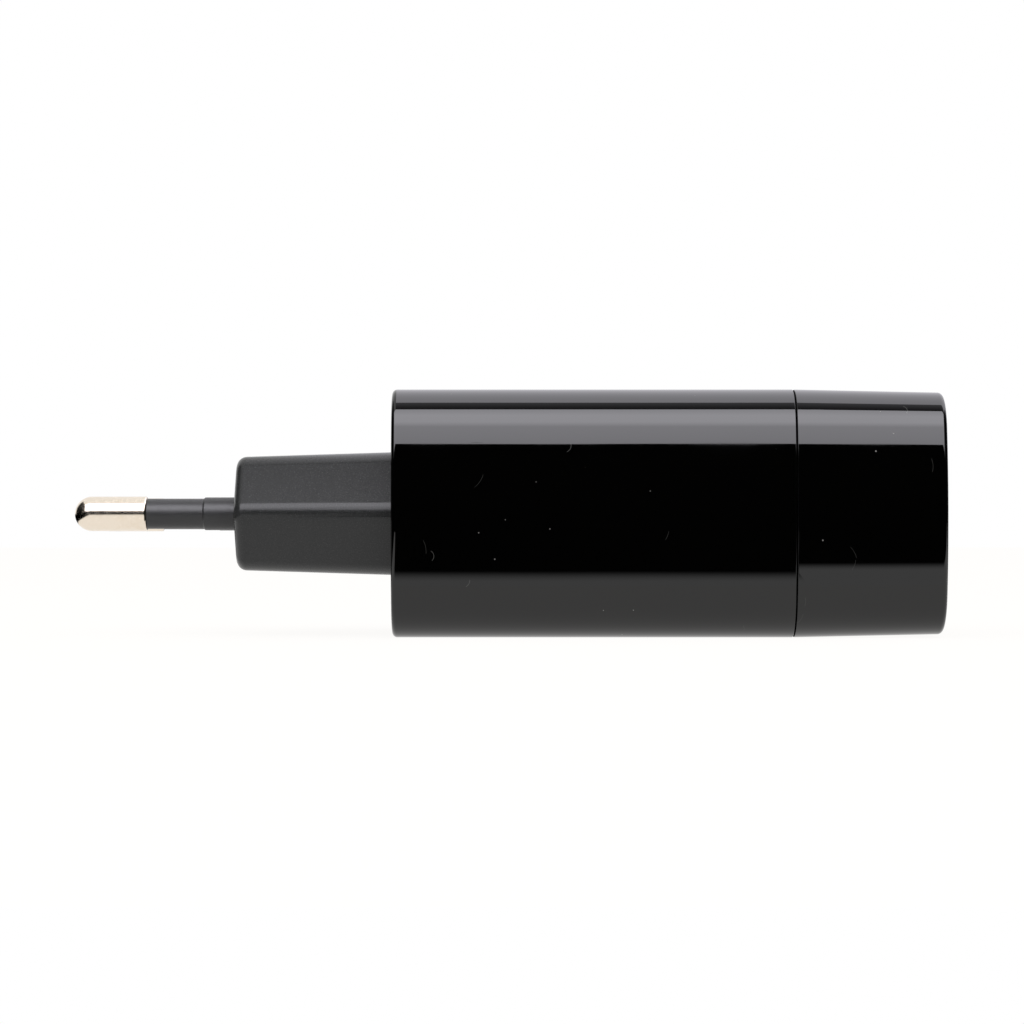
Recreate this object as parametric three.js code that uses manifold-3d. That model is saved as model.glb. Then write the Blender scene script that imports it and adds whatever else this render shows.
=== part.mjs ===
// A two-port USB wall charger on a flat two-pin mains plug.
//
// Millimetres. The origin is the centre of the plug's engagement face, which lies against the wall
// socket. +X runs from the pins through the body to the USB ports, +Y from pin to pin, and +Z across
// the thin side of the body.

import * as THREE from 'three';
import { mergeVertices } from 'three/addons/utils/BufferGeometryUtils.js';
import Module from 'manifold-3d';

const wasm = await Module();
wasm.setup();

// ---- driving dimensions ------------------------------------------------------------------------

// Mains plug: flat two-pin type for 2.5 A
const PIN_LENGTH = 19;
const PIN_DIAMETER = 4;
const PIN_BARE_LENGTH = 8.4;
const PIN_SPACING = 18.6;
const PIN_TIP_SPACING = 17.5;
const PIN_SHOULDER_DIAMETER = 4.8;
const PIN_SHOULDER_DEPTH = 8;
const PIN_SHOULDER_LENGTH = 4;
const SLEEVE_DIAMETER = 3.5;
const SLEEVE_WALL = 0.25;
const COLLAR_DIAMETER = 3.8;
const COLLAR_LENGTH = 3.9;
const COLLAR_DEPTH = 5;
const NOSE_LENGTH = 18;
const NOSE_WIDTH = 35.3;
const NOSE_FLAT_WIDTH = 26.1;
const NOSE_THICKNESS = 13;
const NOSE_DRAFT = THREE.MathUtils.degToRad(1.75);
const NOSE_EDGE_RADIUS = 1;
const NOSE_RIDGE_RADIUS = 3;
const NOSE_FRONT_FILLET = 0.8;
const NOSE_FLANGE = 1;
const NOSE_FLANGE_THICKNESS = 2;
const RETAINER_THICKNESS = 2;
const PIN_TAIL = 1.5;

// Body shells
const BODY_WIDTH = 43;
const BODY_THICKNESS = 28.2;
const HOUSING_LENGTH = 45.5;
const CAP_LENGTH = 16.75;
const SEAM_WIDTH = 0.3;
const WALL = 2;
const CAP_END_WALL = 2.2;
const CORNER_RADIUS = 5.5;
const SIDE_RADIUS = 48;
const PLUG_END_FILLET = 0.7;
const PORT_END_FILLET = 1;
const CAP_DRAFT = THREE.MathUtils.degToRad(1.2);
const LIP_LENGTH = 3;
const LIP_ROOT = 2;
const LIP_WALL = 1.2;
const RAIL_WIDTH = 1.5;
const RAIL_THICKNESS = 1.5;

// USB type A ports
const PORT_PITCH = 11;
const PORT_WIDTH = 12.5;
const PORT_HEIGHT = 5.12;
const SHELL_WALL = 0.3;
const SHELL_LENGTH = 14;
const SHELL_RADIUS = 0.8;
const SHELL_RECESS = 0.4;
const INSULATOR_BASE = 3.5;
const TONGUE_WIDTH = 11.1;
const TONGUE_THICKNESS = 1.84;
const TONGUE_OFFSET = 0.7;
const TONGUE_RECESS = 1;
const GROOVE_WIDTH = 1.4;
const GROOVE_DEPTH = 1.1;
const TERMINAL_WIDTH = 1;
const TERMINAL_THICKNESS = 0.3;
const TERMINAL_RISE = 0.35;
const TERMINAL_CREST_REACH = 1.4;
const TERMINAL_PLACES = { ground: -3.5, data_plus: -1, data_minus: 1, vbus: 3.5 };

// Circuit boards
const BOARD_THICKNESS = 1.6;
const BOARD_STANDOFF = 2.4;
const OUTPUT_BOARD_THICKNESS = 1.2;
const LEAD_DIAMETER = 0.6;
const LEAD_TAIL = 1;
const SHEET_THICKNESS = 0.4;

// Clearances
const FIT = 0.15;
const SLIDE_FIT = 0.2;
const SEAT = 0.1;
const APART = 0.3;

// ---- places that follow from them --------------------------------------------------------------

const BODY_START = NOSE_LENGTH;
const CAVITY_START = BODY_START + WALL;
const HOUSING_END = BODY_START + HOUSING_LENGTH;
const CAP_START = HOUSING_END + SEAM_WIDTH;
const BODY_END = CAP_START + CAP_LENGTH;
const CAVITY_HALF_Y = BODY_WIDTH / 2 - WALL;
const CAVITY_HALF_Z = BODY_THICKNESS / 2 - WALL;
const CAP_SHRINK = CAP_LENGTH * Math.tan(CAP_DRAFT);
const LIP_START = HOUSING_END - LIP_LENGTH;

const FLANGE_START = CAVITY_START;
const FLANGE_END = FLANGE_START + NOSE_FLANGE_THICKNESS;
const RETAINER_START = FLANGE_END + APART;
const RETAINER_END = RETAINER_START + RETAINER_THICKNESS;
const PIN_TAIL_END = RETAINER_END + PIN_TAIL;
const PIN_CORE_DIAMETER = SLEEVE_DIAMETER - 2 * (SLEEVE_WALL + APART);
const PIN_TURN = Math.atan((PIN_SPACING - PIN_TIP_SPACING) / 2 / PIN_LENGTH);

const BOARD_START = RETAINER_END + APART;
const BOARD_END = LIP_START - APART;
const BOARD_BOTTOM = BOARD_STANDOFF - CAVITY_HALF_Z;
const BOARD_TOP = BOARD_BOTTOM + BOARD_THICKNESS;
const CAVITY_RADIUS = CORNER_RADIUS - WALL;
const BOARD_HALF_Y = halfWidthAt(BOARD_BOTTOM, CAVITY_HALF_Y, CAVITY_HALF_Z, CAVITY_RADIUS) - SLIDE_FIT;

const SHELL_END = BODY_END - SHELL_RECESS;
const SHELL_START = SHELL_END - SHELL_LENGTH;
const SHELL_HALF_Y = PORT_WIDTH / 2 + SHELL_WALL;
const SHELL_HALF_Z = PORT_HEIGHT / 2 + SHELL_WALL;
const OUTPUT_BOARD_END = SHELL_START - APART;
const OUTPUT_BOARD_START = OUTPUT_BOARD_END - OUTPUT_BOARD_THICKNESS;
const TONGUE_END = SHELL_END - TONGUE_RECESS;
const TONGUE_TOP = PORT_HEIGHT / 2 - TONGUE_OFFSET;
const CONTACT_FACE = TONGUE_TOP - TONGUE_THICKNESS;

// ---- solid tools -------------------------------------------------------------------------------

const SECTION_AXES = new THREE.Matrix4().makeBasis(
  new THREE.Vector3(0, 1, 0),
  new THREE.Vector3(0, 0, 1),
  new THREE.Vector3(1, 0, 0),
);
const PROFILE_AXES = new THREE.Matrix4().makeRotationX(Math.PI / 2);

/** A geometry as a closed manifold solid, its shared vertices merged. */
function toSolid(geometry) {
  const bare = geometry.clone();
  bare.deleteAttribute('normal');
  bare.deleteAttribute('uv');
  const merged = mergeVertices(bare, 1e-4);
  const triVerts = [];
  const index = merged.index.array;
  for (let i = 0; i < index.length; i += 3) {
    const [a, b, c] = index.slice(i, i + 3);
    if (a !== b && b !== c && c !== a) triVerts.push(a, b, c);
  }
  const vertProperties = new Float32Array(merged.attributes.position.array);
  const mesh = new wasm.Mesh({ numProp: 3, vertProperties, triVerts: new Uint32Array(triVerts) });
  return new wasm.Manifold(mesh);
}

/** A manifold solid as a geometry with face normals. */
function toGeometry(solid) {
  const { vertProperties, triVerts } = solid.getMesh();
  const geometry = new THREE.BufferGeometry();
  geometry.setAttribute('position', new THREE.BufferAttribute(vertProperties, 3));
  geometry.setIndex(new THREE.BufferAttribute(triVerts, 1));
  geometry.computeVertexNormals();
  return geometry;
}

/** All the geometries joined into one. */
function join(...geometries) {
  return toGeometry(geometries.map(toSolid).reduce((all, next) => all.add(next)));
}

/** What two geometries share. */
function overlap(first, second) {
  return toGeometry(toSolid(first).intersect(toSolid(second)));
}

/** The first geometry less all the others. */
function cut(body, ...tools) {
  return toGeometry(tools.map(toSolid).reduce((left, tool) => left.subtract(tool), toSolid(body)));
}

/** A convex polygon, corners given anticlockwise, with each corner rounded to its own radius. */
function roundedPolygon(corners, radii) {
  const shape = new THREE.Shape();
  corners.forEach((corner, i) => {
    const back = corners.at(i - 1).clone().sub(corner).normalize();
    const on = corners[(i + 1) % corners.length].clone().sub(corner).normalize();
    const half = Math.acos(back.dot(on)) / 2;
    const reach = radii[i] / Math.tan(half);
    const centre = back.clone().add(on).normalize().multiplyScalar(radii[i] / Math.sin(half)).add(corner);
    const start = back.multiplyScalar(reach).add(corner).sub(centre);
    const end = on.multiplyScalar(reach).add(corner).sub(centre);
    shape.absarc(centre.x, centre.y, radii[i], start.angle(), end.angle(), false);
  });
  return shape;
}

/** A rounded rectangle about the origin, given by its half sizes. */
function roundedRect(halfWidth, halfHeight, radius) {
  const corners = [[1, 1], [-1, 1], [-1, -1], [1, -1]];
  const points = corners.map(([x, y]) => new THREE.Vector2(x * halfWidth, y * halfHeight));
  return roundedPolygon(points, corners.map(() => radius));
}

/** Where the arcs of the body's section have their centres, and the tilt at which they meet. */
function sectionCentres(halfWidth, halfHeight, radius) {
  const cornerZ = halfHeight - radius;
  const crownCentre = halfWidth - SIDE_RADIUS;
  const tilt = Math.asin(cornerZ / (SIDE_RADIUS - radius));
  const cornerY = crownCentre + (SIDE_RADIUS - radius) * Math.cos(tilt);
  return { cornerY, cornerZ, crownCentre, tilt };
}

/** Half the width of the body's section at one height. */
function halfWidthAt(z, halfWidth, halfHeight, radius) {
  const { cornerY, cornerZ, crownCentre, tilt } = sectionCentres(halfWidth, halfHeight, radius);
  if (Math.abs(z) < SIDE_RADIUS * Math.sin(tilt)) return crownCentre + Math.sqrt(SIDE_RADIUS ** 2 - z ** 2);
  return cornerY + Math.sqrt(radius ** 2 - (Math.abs(z) - cornerZ) ** 2);
}

/** The body's section: flat wide faces, crowned narrow sides and round corners, all tangent. */
function bodyOutline(halfWidth, halfHeight, radius) {
  const { cornerY, cornerZ, crownCentre, tilt } = sectionCentres(halfWidth, halfHeight, radius);
  const shape = new THREE.Shape();
  shape.absarc(crownCentre, 0, SIDE_RADIUS, -tilt, tilt, false);
  shape.absarc(cornerY, cornerZ, radius, tilt, Math.PI / 2, false);
  shape.absarc(-cornerY, cornerZ, radius, Math.PI / 2, Math.PI - tilt, false);
  shape.absarc(-crownCentre, 0, SIDE_RADIUS, Math.PI - tilt, Math.PI + tilt, false);
  shape.absarc(-cornerY, -cornerZ, radius, Math.PI + tilt, Math.PI * 1.5, false);
  shape.absarc(cornerY, -cornerZ, radius, Math.PI * 1.5, Math.PI * 2 - tilt, false);
  return shape;
}

/** The housing's cavity outline, set in by a clearance or a wall. */
function insetCavity(inset) {
  return bodyOutline(CAVITY_HALF_Y - inset, CAVITY_HALF_Z - inset, CAVITY_RADIUS - inset);
}

/** A section in the YZ plane, extruded from one X to another. */
function alongX(shape, from, to, curveSegments = 2) {
  const geometry = new THREE.ExtrudeGeometry(shape, { depth: to - from, bevelEnabled: false, curveSegments });
  return geometry.applyMatrix4(SECTION_AXES).translate(from, 0, 0);
}

/** A section in the XY plane, extruded from one Z to another. */
function alongZ(shape, from, to, curveSegments = 2) {
  const geometry = new THREE.ExtrudeGeometry(shape, { depth: to - from, bevelEnabled: false, curveSegments });
  return geometry.translate(0, 0, from);
}

/** A profile in the XZ plane, extruded over a width that is centred on one Y. */
function acrossY(shape, centreY, width, curveSegments = 2) {
  const geometry = new THREE.ExtrudeGeometry(shape, { depth: width, bevelEnabled: false, curveSegments });
  return geometry.applyMatrix4(PROFILE_AXES).translate(0, centreY + width / 2, 0);
}

/** A section in the YZ plane, drawn through stations that each give an X and an inset. */
function tapered(shape, halfWidth, halfHeight, stations, curveSegments) {
  const steps = stations.length - 1;
  const options = { depth: steps, steps, bevelEnabled: false, curveSegments };
  const geometry = new THREE.ExtrudeGeometry(shape, options);
  const place = geometry.attributes.position;
  for (let i = 0; i < place.count; i += 1) {
    const { x, inset } = stations[Math.round(place.getZ(i))];
    const y = place.getX(i) * (1 - inset / halfWidth);
    const z = place.getY(i) * (1 - inset / halfHeight);
    place.setXYZ(i, x, y, z);
  }
  return geometry;
}

/** Stations round a convex fillet, from its flat end face to where it meets the side. */
function filletStations(x, radius, inward, steps = 3) {
  return Array.from({ length: steps + 1 }, (_, i) => {
    const turn = (i / steps) * (Math.PI / 2);
    return { x: x + inward * radius * (1 - Math.cos(turn)), inset: radius * (1 - Math.sin(turn)) };
  });
}

/** A box given by its low and high corners. */
function block([x0, y0, z0], [x1, y1, z1]) {
  const geometry = new THREE.BoxGeometry(x1 - x0, y1 - y0, z1 - z0);
  return geometry.translate((x0 + x1) / 2, (y0 + y1) / 2, (z0 + z1) / 2);
}

/** An upright round rod. */
function rod(x, y, z0, z1, diameter, sides = 8) {
  const geometry = new THREE.CylinderGeometry(diameter / 2, diameter / 2, z1 - z0, sides);
  return geometry.rotateX(Math.PI / 2).translate(x, y, (z0 + z1) / 2);
}

/** A round rod that lies along X. */
function lyingRod(x0, x1, y, z, diameter, sides = 8) {
  const geometry = new THREE.CylinderGeometry(diameter / 2, diameter / 2, x1 - x0, sides);
  return geometry.rotateZ(Math.PI / 2).translate((x0 + x1) / 2, y, z);
}

/** A turned solid about X, from a profile of [place along X, radius] pairs. */
function turned(profile, sides = 20) {
  const points = profile.map(([x, radius]) => new THREE.Vector2(radius, x));
  return new THREE.LatheGeometry(points, sides).rotateZ(-Math.PI / 2);
}

// ---- the assembly ------------------------------------------------------------------------------

const charger = new THREE.Group();
const boardHoles = [];

/** Adds one named piece to the assembly, in its own finish. */
function addPiece(name, geometry, color, roughness, metalness, parent = charger) {
  const material = new THREE.MeshStandardMaterial({ color, roughness, metalness });
  const piece = new THREE.Mesh(toGeometry(toSolid(geometry)), material);
  piece.name = name;
  parent.add(piece);
}

// ---- mains plug --------------------------------------------------------------------------------

/** The nose's section: a flat hexagon whose side ridges are rounded. */
function noseOutline(growth = 0) {
  const flat = NOSE_FLAT_WIDTH / 2;
  const halfZ = NOSE_THICKNESS / 2;
  const flankAngle = Math.atan2(halfZ, NOSE_WIDTH / 2 - flat);
  const ridge = NOSE_WIDTH / 2 + NOSE_RIDGE_RADIUS * (1 / Math.sin(flankAngle) - 1);
  const corners = [[ridge, 0], [flat, halfZ], [-flat, halfZ], [-ridge, 0], [-flat, -halfZ], [flat, -halfZ]];
  const scale = new THREE.Vector2(1 + growth / ridge, 1 + growth / halfZ);
  const points = corners.map(([y, z]) => new THREE.Vector2(y, z).multiply(scale));
  const edge = NOSE_EDGE_RADIUS;
  return roundedPolygon(points, [NOSE_RIDGE_RADIUS, edge, edge, NOSE_RIDGE_RADIUS, edge, edge]);
}

/** How far the drafted nose has grown at a distance from its engagement face. */
function noseGrowth(x) {
  return x * Math.tan(NOSE_DRAFT);
}

/** Moves a turned piece onto one pin's axis, which leans in towards the tip. */
function ontoPinAxis(geometry, side) {
  return geometry.rotateZ(side * PIN_TURN).translate(0, (side * PIN_SPACING) / 2, 0);
}

function buildNose() {
  const stations = [
    ...filletStations(0, NOSE_FRONT_FILLET, 1),
    { x: CAVITY_START + SEAT, inset: -noseGrowth(CAVITY_START) },
  ];
  const body = tapered(noseOutline(), NOSE_WIDTH / 2, NOSE_THICKNESS / 2, stations, 2);
  const flangeHalfZ = NOSE_THICKNESS / 2 + noseGrowth(CAVITY_START) + NOSE_FLANGE;
  const flangeBand = block([FLANGE_START, -BODY_WIDTH, -flangeHalfZ], [FLANGE_END, BODY_WIDTH, flangeHalfZ]);
  const flange = overlap(alongX(insetCavity(SLIDE_FIT), FLANGE_START, FLANGE_END, 3), flangeBand);
  const boreRadius = COLLAR_DIAMETER / 2 + APART;
  const pocketRadius = PIN_SHOULDER_DIAMETER / 2 + APART;
  const pocketStart = PIN_SHOULDER_DEPTH - APART;
  const boreProfile = [
    [-1, 0], [-1, boreRadius], [pocketStart, boreRadius],
    [pocketStart, pocketRadius], [FLANGE_END + 1, pocketRadius], [FLANGE_END + 1, 0],
  ];
  const bores = [-1, 1].map((side) => ontoPinAxis(turned(boreProfile, 16), side));
  const coreHalfY = PIN_SPACING / 2 - pocketRadius - WALL;
  const coreHalfZ = NOSE_THICKNESS / 2 - WALL;
  const core = alongX(roundedRect(coreHalfY, coreHalfZ, 1), WALL * 2, FLANGE_END + 1, 1);
  return cut(join(body, flange), ...bores, core);
}

function buildPin(side) {
  const tipRadius = PIN_DIAMETER / 2;
  const tipSteps = 5;
  const shoulderEnd = PIN_SHOULDER_DEPTH + PIN_SHOULDER_LENGTH;
  const bareEnd = PIN_BARE_LENGTH - PIN_LENGTH;
  const coreRadius = PIN_CORE_DIAMETER / 2;
  const tip = Array.from({ length: tipSteps + 1 }, (_, i) => {
    const turn = (i / tipSteps) * (Math.PI / 2);
    return [tipRadius * (1 - Math.cos(turn)) - PIN_LENGTH, i === 0 ? 0 : tipRadius * Math.sin(turn)];
  });
  const profile = [
    ...tip, [bareEnd, tipRadius], [bareEnd, coreRadius], [PIN_SHOULDER_DEPTH, coreRadius],
    [PIN_SHOULDER_DEPTH, PIN_SHOULDER_DIAMETER / 2], [shoulderEnd, PIN_SHOULDER_DIAMETER / 2],
    [shoulderEnd, coreRadius], [PIN_TAIL_END, coreRadius], [PIN_TAIL_END, 0],
  ];
  return ontoPinAxis(turned(profile), side);
}

function buildSleeve(side) {
  const start = PIN_BARE_LENGTH - PIN_LENGTH + APART;
  const inner = SLEEVE_DIAMETER / 2 - SLEEVE_WALL;
  const outer = SLEEVE_DIAMETER / 2;
  const collar = COLLAR_DIAMETER / 2;
  const profile = [
    [start, inner], [start, outer], [-COLLAR_LENGTH, outer], [-COLLAR_LENGTH, collar],
    [COLLAR_DEPTH, collar], [COLLAR_DEPTH, inner], [start, inner],
  ];
  return ontoPinAxis(turned(profile), side);
}

function buildRetainer() {
  const plate = alongX(noseOutline(noseGrowth(CAVITY_START)), RETAINER_START, RETAINER_END);
  const holeDiameter = PIN_CORE_DIAMETER + 2 * APART;
  const holes = [-1, 1].map((side) => {
    const hole = lyingRod(RETAINER_START - 1, RETAINER_END + 1, 0, 0, holeDiameter, 16);
    return ontoPinAxis(hole, side);
  });
  return cut(plate, ...holes);
}

/** Where a pin's axis has reached across the plug at a distance behind the engagement face. */
function pinPlace(x, side) {
  return side * (PIN_SPACING / 2 + x * Math.tan(PIN_TURN));
}

/** A bent leaf that stands on the board and bears on the end of a pin's tail. */
function buildContact(side) {
  const leaf = 0.4;
  const width = 3;
  const footLength = 3.2;
  const back = PIN_TAIL_END + APART;
  const crest = PIN_CORE_DIAMETER / 2 + leaf;
  const y = pinPlace(PIN_TAIL_END, side);
  const foot = BOARD_TOP + SEAT;
  const profile = new THREE.Shape();
  profile.moveTo(back, foot);
  profile.lineTo(back + footLength, foot);
  profile.lineTo(back + footLength, foot + leaf);
  profile.lineTo(back + leaf, foot + leaf);
  profile.lineTo(back + leaf, crest);
  profile.lineTo(back, crest);
  profile.closePath();
  return onLeads(acrossY(profile, y, width, 1), [[back + footLength - 1, y]]);
}

addPiece('plug_nose', buildNose(), 0x2a2b2d, 0.6, 0);
[['left', 1], ['right', -1]].forEach(([hand, side]) => {
  addPiece(`pin_${hand}`, buildPin(side), 0xd9cdbd, 0.2, 1);
  addPiece(`pin_sleeve_${hand}`, buildSleeve(side), 0x242527, 0.55, 0);
});
addPiece('pin_retainer', buildRetainer(), 0xd8d6cf, 0.6, 0);

// ---- shells ------------------------------------------------------------------------------------

function buildHousing() {
  const halfY = BODY_WIDTH / 2;
  const halfZ = BODY_THICKNESS / 2;
  const stations = [...filletStations(BODY_START, PLUG_END_FILLET, 1), { x: HOUSING_END, inset: 0 }];
  const outer = tapered(bodyOutline(halfY, halfZ, CORNER_RADIUS), halfY, halfZ, stations, 4);
  const cavityOutline = bodyOutline(CAVITY_HALF_Y, CAVITY_HALF_Z, CAVITY_RADIUS);
  const cavity = alongX(cavityOutline, CAVITY_START, HOUSING_END + 1, 3);
  const aperture = alongX(noseOutline(noseGrowth(CAVITY_START) + FIT), BODY_START - 1, CAVITY_START + 1);
  const rails = [-1, 1].flatMap((side) => {
    const outside = side * (CAVITY_HALF_Y + WALL / 2);
    const inside = side * (BOARD_HALF_Y - RAIL_WIDTH);
    const low = Math.min(outside, inside);
    const high = Math.max(outside, inside);
    const under = block([BOARD_START, low, -CAVITY_HALF_Z - 1], [BOARD_END, high, BOARD_BOTTOM - SEAT]);
    const over = block([BOARD_START, low, BOARD_TOP + SEAT], [BOARD_END, high, BOARD_TOP + RAIL_THICKNESS]);
    return [under, over];
  });
  const shell = cut(outer, cavity, aperture);
  return join(shell, ...rails.map((rail) => overlap(rail, outer)));
}

function buildCap() {
  const halfY = BODY_WIDTH / 2;
  const halfZ = BODY_THICKNESS / 2;
  const fillet = filletStations(BODY_END, PORT_END_FILLET, -1).reverse();
  const end = fillet.map(({ x, inset }) => ({ x, inset: inset + CAP_SHRINK }));
  const stations = [{ x: CAP_START, inset: 0 }, ...end];
  const outer = tapered(bodyOutline(halfY, halfZ, CORNER_RADIUS), halfY, halfZ, stations, 4);
  const innerY = CAVITY_HALF_Y - CAP_SHRINK;
  const innerZ = CAVITY_HALF_Z - CAP_SHRINK;
  const inside = bodyOutline(innerY, innerZ, CAVITY_RADIUS);
  const cavity = alongX(inside, CAP_START - 1, BODY_END - CAP_END_WALL, 3);
  const lipEnd = CAP_START + LIP_ROOT;
  const lipOuter = alongX(insetCavity(SLIDE_FIT), LIP_START, lipEnd, 3);
  const lip = cut(lipOuter, alongX(insetCavity(SLIDE_FIT + LIP_WALL), LIP_START - 1, lipEnd + 1, 3));
  const slot = roundedRect(SHELL_HALF_Y + FIT, SHELL_HALF_Z + FIT, SHELL_RADIUS + FIT);
  const slots = [-1, 1].map((level) => {
    const hole = alongX(slot, BODY_END - CAP_END_WALL - 1, BODY_END + 1);
    return hole.translate(0, 0, (level * PORT_PITCH) / 2);
  });
  return join(cut(outer, cavity, ...slots), lip);
}

addPiece('main_housing', buildHousing(), 0x060607, 0.05, 0);
addPiece('port_cap', buildCap(), 0x060607, 0.05, 0);

// ---- USB ports ---------------------------------------------------------------------------------

function buildShell() {
  const outer = alongX(roundedRect(SHELL_HALF_Y, SHELL_HALF_Z, SHELL_RADIUS), SHELL_START, SHELL_END);
  const inner = roundedRect(PORT_WIDTH / 2, PORT_HEIGHT / 2, SHELL_RADIUS - SHELL_WALL);
  return cut(outer, alongX(inner, SHELL_START - 1, SHELL_END + 1));
}

function buildInsulator() {
  const baseEnd = SHELL_START + INSULATOR_BASE;
  const baseHalfY = PORT_WIDTH / 2 - SEAT;
  const baseHalfZ = PORT_HEIGHT / 2 - SEAT;
  const base = alongX(roundedRect(baseHalfY, baseHalfZ, SHELL_RADIUS - SHELL_WALL), SHELL_START, baseEnd);
  const halfTongue = TONGUE_WIDTH / 2;
  const tongue = block([baseEnd - 1, -halfTongue, CONTACT_FACE], [TONGUE_END, halfTongue, TONGUE_TOP]);
  const grooveEnd = TONGUE_END - TERMINAL_THICKNESS * 2;
  const grooves = Object.values(TERMINAL_PLACES).flatMap((y) => {
    const low = y - GROOVE_WIDTH / 2;
    const high = y + GROOVE_WIDTH / 2;
    const roof = CONTACT_FACE + GROOVE_DEPTH;
    const channel = block([SHELL_START - 1, low, CONTACT_FACE], [baseEnd + 1, high, roof]);
    const trough = block([baseEnd, low, CONTACT_FACE - 1], [grooveEnd, high, roof]);
    return [channel, trough];
  });
  return cut(join(base, tongue), ...grooves);
}

/** A sprung terminal: a strip along the tongue's groove, with a rounded crest that meets the plug. */
function buildTerminal(y) {
  const low = CONTACT_FACE + TERMINAL_RISE;
  const high = low + TERMINAL_THICKNESS;
  const tail = OUTPUT_BOARD_START - TERMINAL_THICKNESS;
  const tip = TONGUE_END - TERMINAL_THICKNESS * 4;
  const crestX = tip - TERMINAL_CREST_REACH;
  const bendX = crestX - TERMINAL_CREST_REACH;
  const crestZ = CONTACT_FACE - TERMINAL_RISE;
  const dip = crestZ - (low - crestZ);
  const profile = new THREE.Shape();
  profile.moveTo(tail, low);
  profile.lineTo(bendX, low);
  profile.quadraticCurveTo(crestX, dip, tip, low);
  profile.lineTo(tip, high);
  profile.quadraticCurveTo(crestX, dip + TERMINAL_THICKNESS, bendX, high);
  profile.lineTo(tail, high);
  profile.closePath();
  return acrossY(profile, y, TERMINAL_WIDTH, 4);
}

[['upper', 1], ['lower', -1]].forEach(([level, side]) => {
  const port = new THREE.Group();
  port.position.z = (side * PORT_PITCH) / 2;
  charger.add(port);
  addPiece(`usb_shell_${level}`, buildShell(), 0xb9bcc0, 0.25, 1, port);
  addPiece(`usb_tongue_${level}`, buildInsulator(), 0xe9e9e6, 0.5, 0, port);
  Object.entries(TERMINAL_PLACES).forEach(([signal, y]) => {
    addPiece(`usb_terminal_${signal}_${level}`, buildTerminal(y), 0xd8b25a, 0.25, 1, port);
  });
});

// ---- parts on the main board -------------------------------------------------------------------

/** Joins wire leads to a part, down through the main board, and notes a hole for each. */
function onLeads(body, places, reach = 1) {
  const rods = places.map(([x, y]) => {
    boardHoles.push([x, y]);
    return rod(x, y, BOARD_BOTTOM - LEAD_TAIL, BOARD_TOP + SEAT + reach, LEAD_DIAMETER, 6);
  });
  return join(body, ...rods);
}

/** A wound or moulded can that stands on the board: a turned body with a waist and two leads. */
function buildCan(x, y, diameter, height, pitch) {
  const radius = diameter / 2;
  const foot = BOARD_TOP + SEAT;
  const edge = 0.4;
  const grooveStart = 1.4;
  const grooveWidth = 1;
  const waist = radius - 0.35;
  const profile = [
    [0, 0], [0, radius - edge], [edge, radius], [grooveStart, radius],
    [grooveStart + grooveWidth / 2, waist], [grooveStart + grooveWidth, radius],
    [height - edge, radius], [height, radius - edge], [height, 0],
  ];
  const points = profile.map(([z, r]) => new THREE.Vector2(r, z));
  const can = new THREE.LatheGeometry(points, 16).rotateX(Math.PI / 2).translate(x, y, foot);
  return onLeads(can, [[x, y - pitch / 2], [x, y + pitch / 2]]);
}

/** A disc-shaped part that stands on edge along X. */
function buildDisc(x, y, diameter, thickness, pitch) {
  const edge = 0.6;
  const lift = 1.2;
  const radius = diameter / 2;
  const half = thickness / 2;
  const profile = [[-half, 0], [-half, radius - edge], [-half + edge, radius], [half - edge, radius],
    [half, radius - edge], [half, 0]];
  const points = profile.map(([across, r]) => new THREE.Vector2(r, across));
  const disc = new THREE.LatheGeometry(points, 16).translate(x, y, BOARD_TOP + lift + radius);
  return onLeads(disc, [[x - pitch / 2, y], [x + pitch / 2, y]], lift + radius);
}

/** A moulded package on two rows of legs. */
function buildPackage(x, y, lengthX, widthY, height, legsPerRow) {
  const standoff = 0.6;
  const foot = BOARD_TOP + standoff;
  const halfX = lengthX / 2;
  const halfY = widthY / 2;
  const body = block([x - halfX, y - halfY, foot], [x + halfX, y + halfY, foot + height]);
  const pitch = lengthX / legsPerRow;
  const inset = LEAD_DIAMETER;
  const places = [];
  for (let i = 0; i < legsPerRow; i += 1) {
    const legX = x - halfX + pitch * (i + 0.5);
    places.push([legX, y - halfY + inset], [legX, y + halfY - inset]);
  }
  return onLeads(body, places);
}

/** A round part that lies along X between two bent wires. */
function buildLyingPart(x, y, diameter, length, pitch) {
  const standoff = 0.5;
  const z = BOARD_TOP + diameter / 2 + standoff;
  const half = length / 2;
  const bead = 0.5;
  const cylinder = turned([[-half, 0], [-half, diameter / 2 - bead], [bead - half, diameter / 2],
    [half - bead, diameter / 2], [half, diameter / 2 - bead], [half, 0]], 14).translate(x, y, z);
  const bend = pitch / 2 + LEAD_DIAMETER / 2;
  const wire = lyingRod(x - bend, x + bend, y, z, LEAD_DIAMETER, 6);
  return onLeads(join(cylinder, wire), [[x - pitch / 2, y], [x + pitch / 2, y]], z - BOARD_TOP - SEAT);
}

/** A ferrite drum core with its coil in the waist, standing on two leads. */
function buildDrum(x, y, diameter, height, pitch) {
  const radius = diameter / 2;
  const waist = radius - 0.6;
  const flange = 1.2;
  const profile = [[0, 0], [0, radius], [flange, radius], [flange, waist], [height - flange, waist],
    [height - flange, radius], [height, radius], [height, 0]];
  const points = profile.map(([z, r]) => new THREE.Vector2(r, z));
  const drum = new THREE.LatheGeometry(points, 16).rotateX(Math.PI / 2).translate(x, y, BOARD_TOP + SEAT);
  return onLeads(drum, [[x, y - pitch / 2], [x, y + pitch / 2]]);
}

const INLET_X = BOARD_START + 6.2;
const BULK_X = BOARD_START + 11.6;
const TRANSFORMER_X = BOARD_START + 21.6;
const OUTPUT_X = BOARD_END - 5;
const RAIL_KEEP_OFF = 0.4;
const EDGE_Y = BOARD_HALF_Y - RAIL_WIDTH - RAIL_KEEP_OFF;

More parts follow.
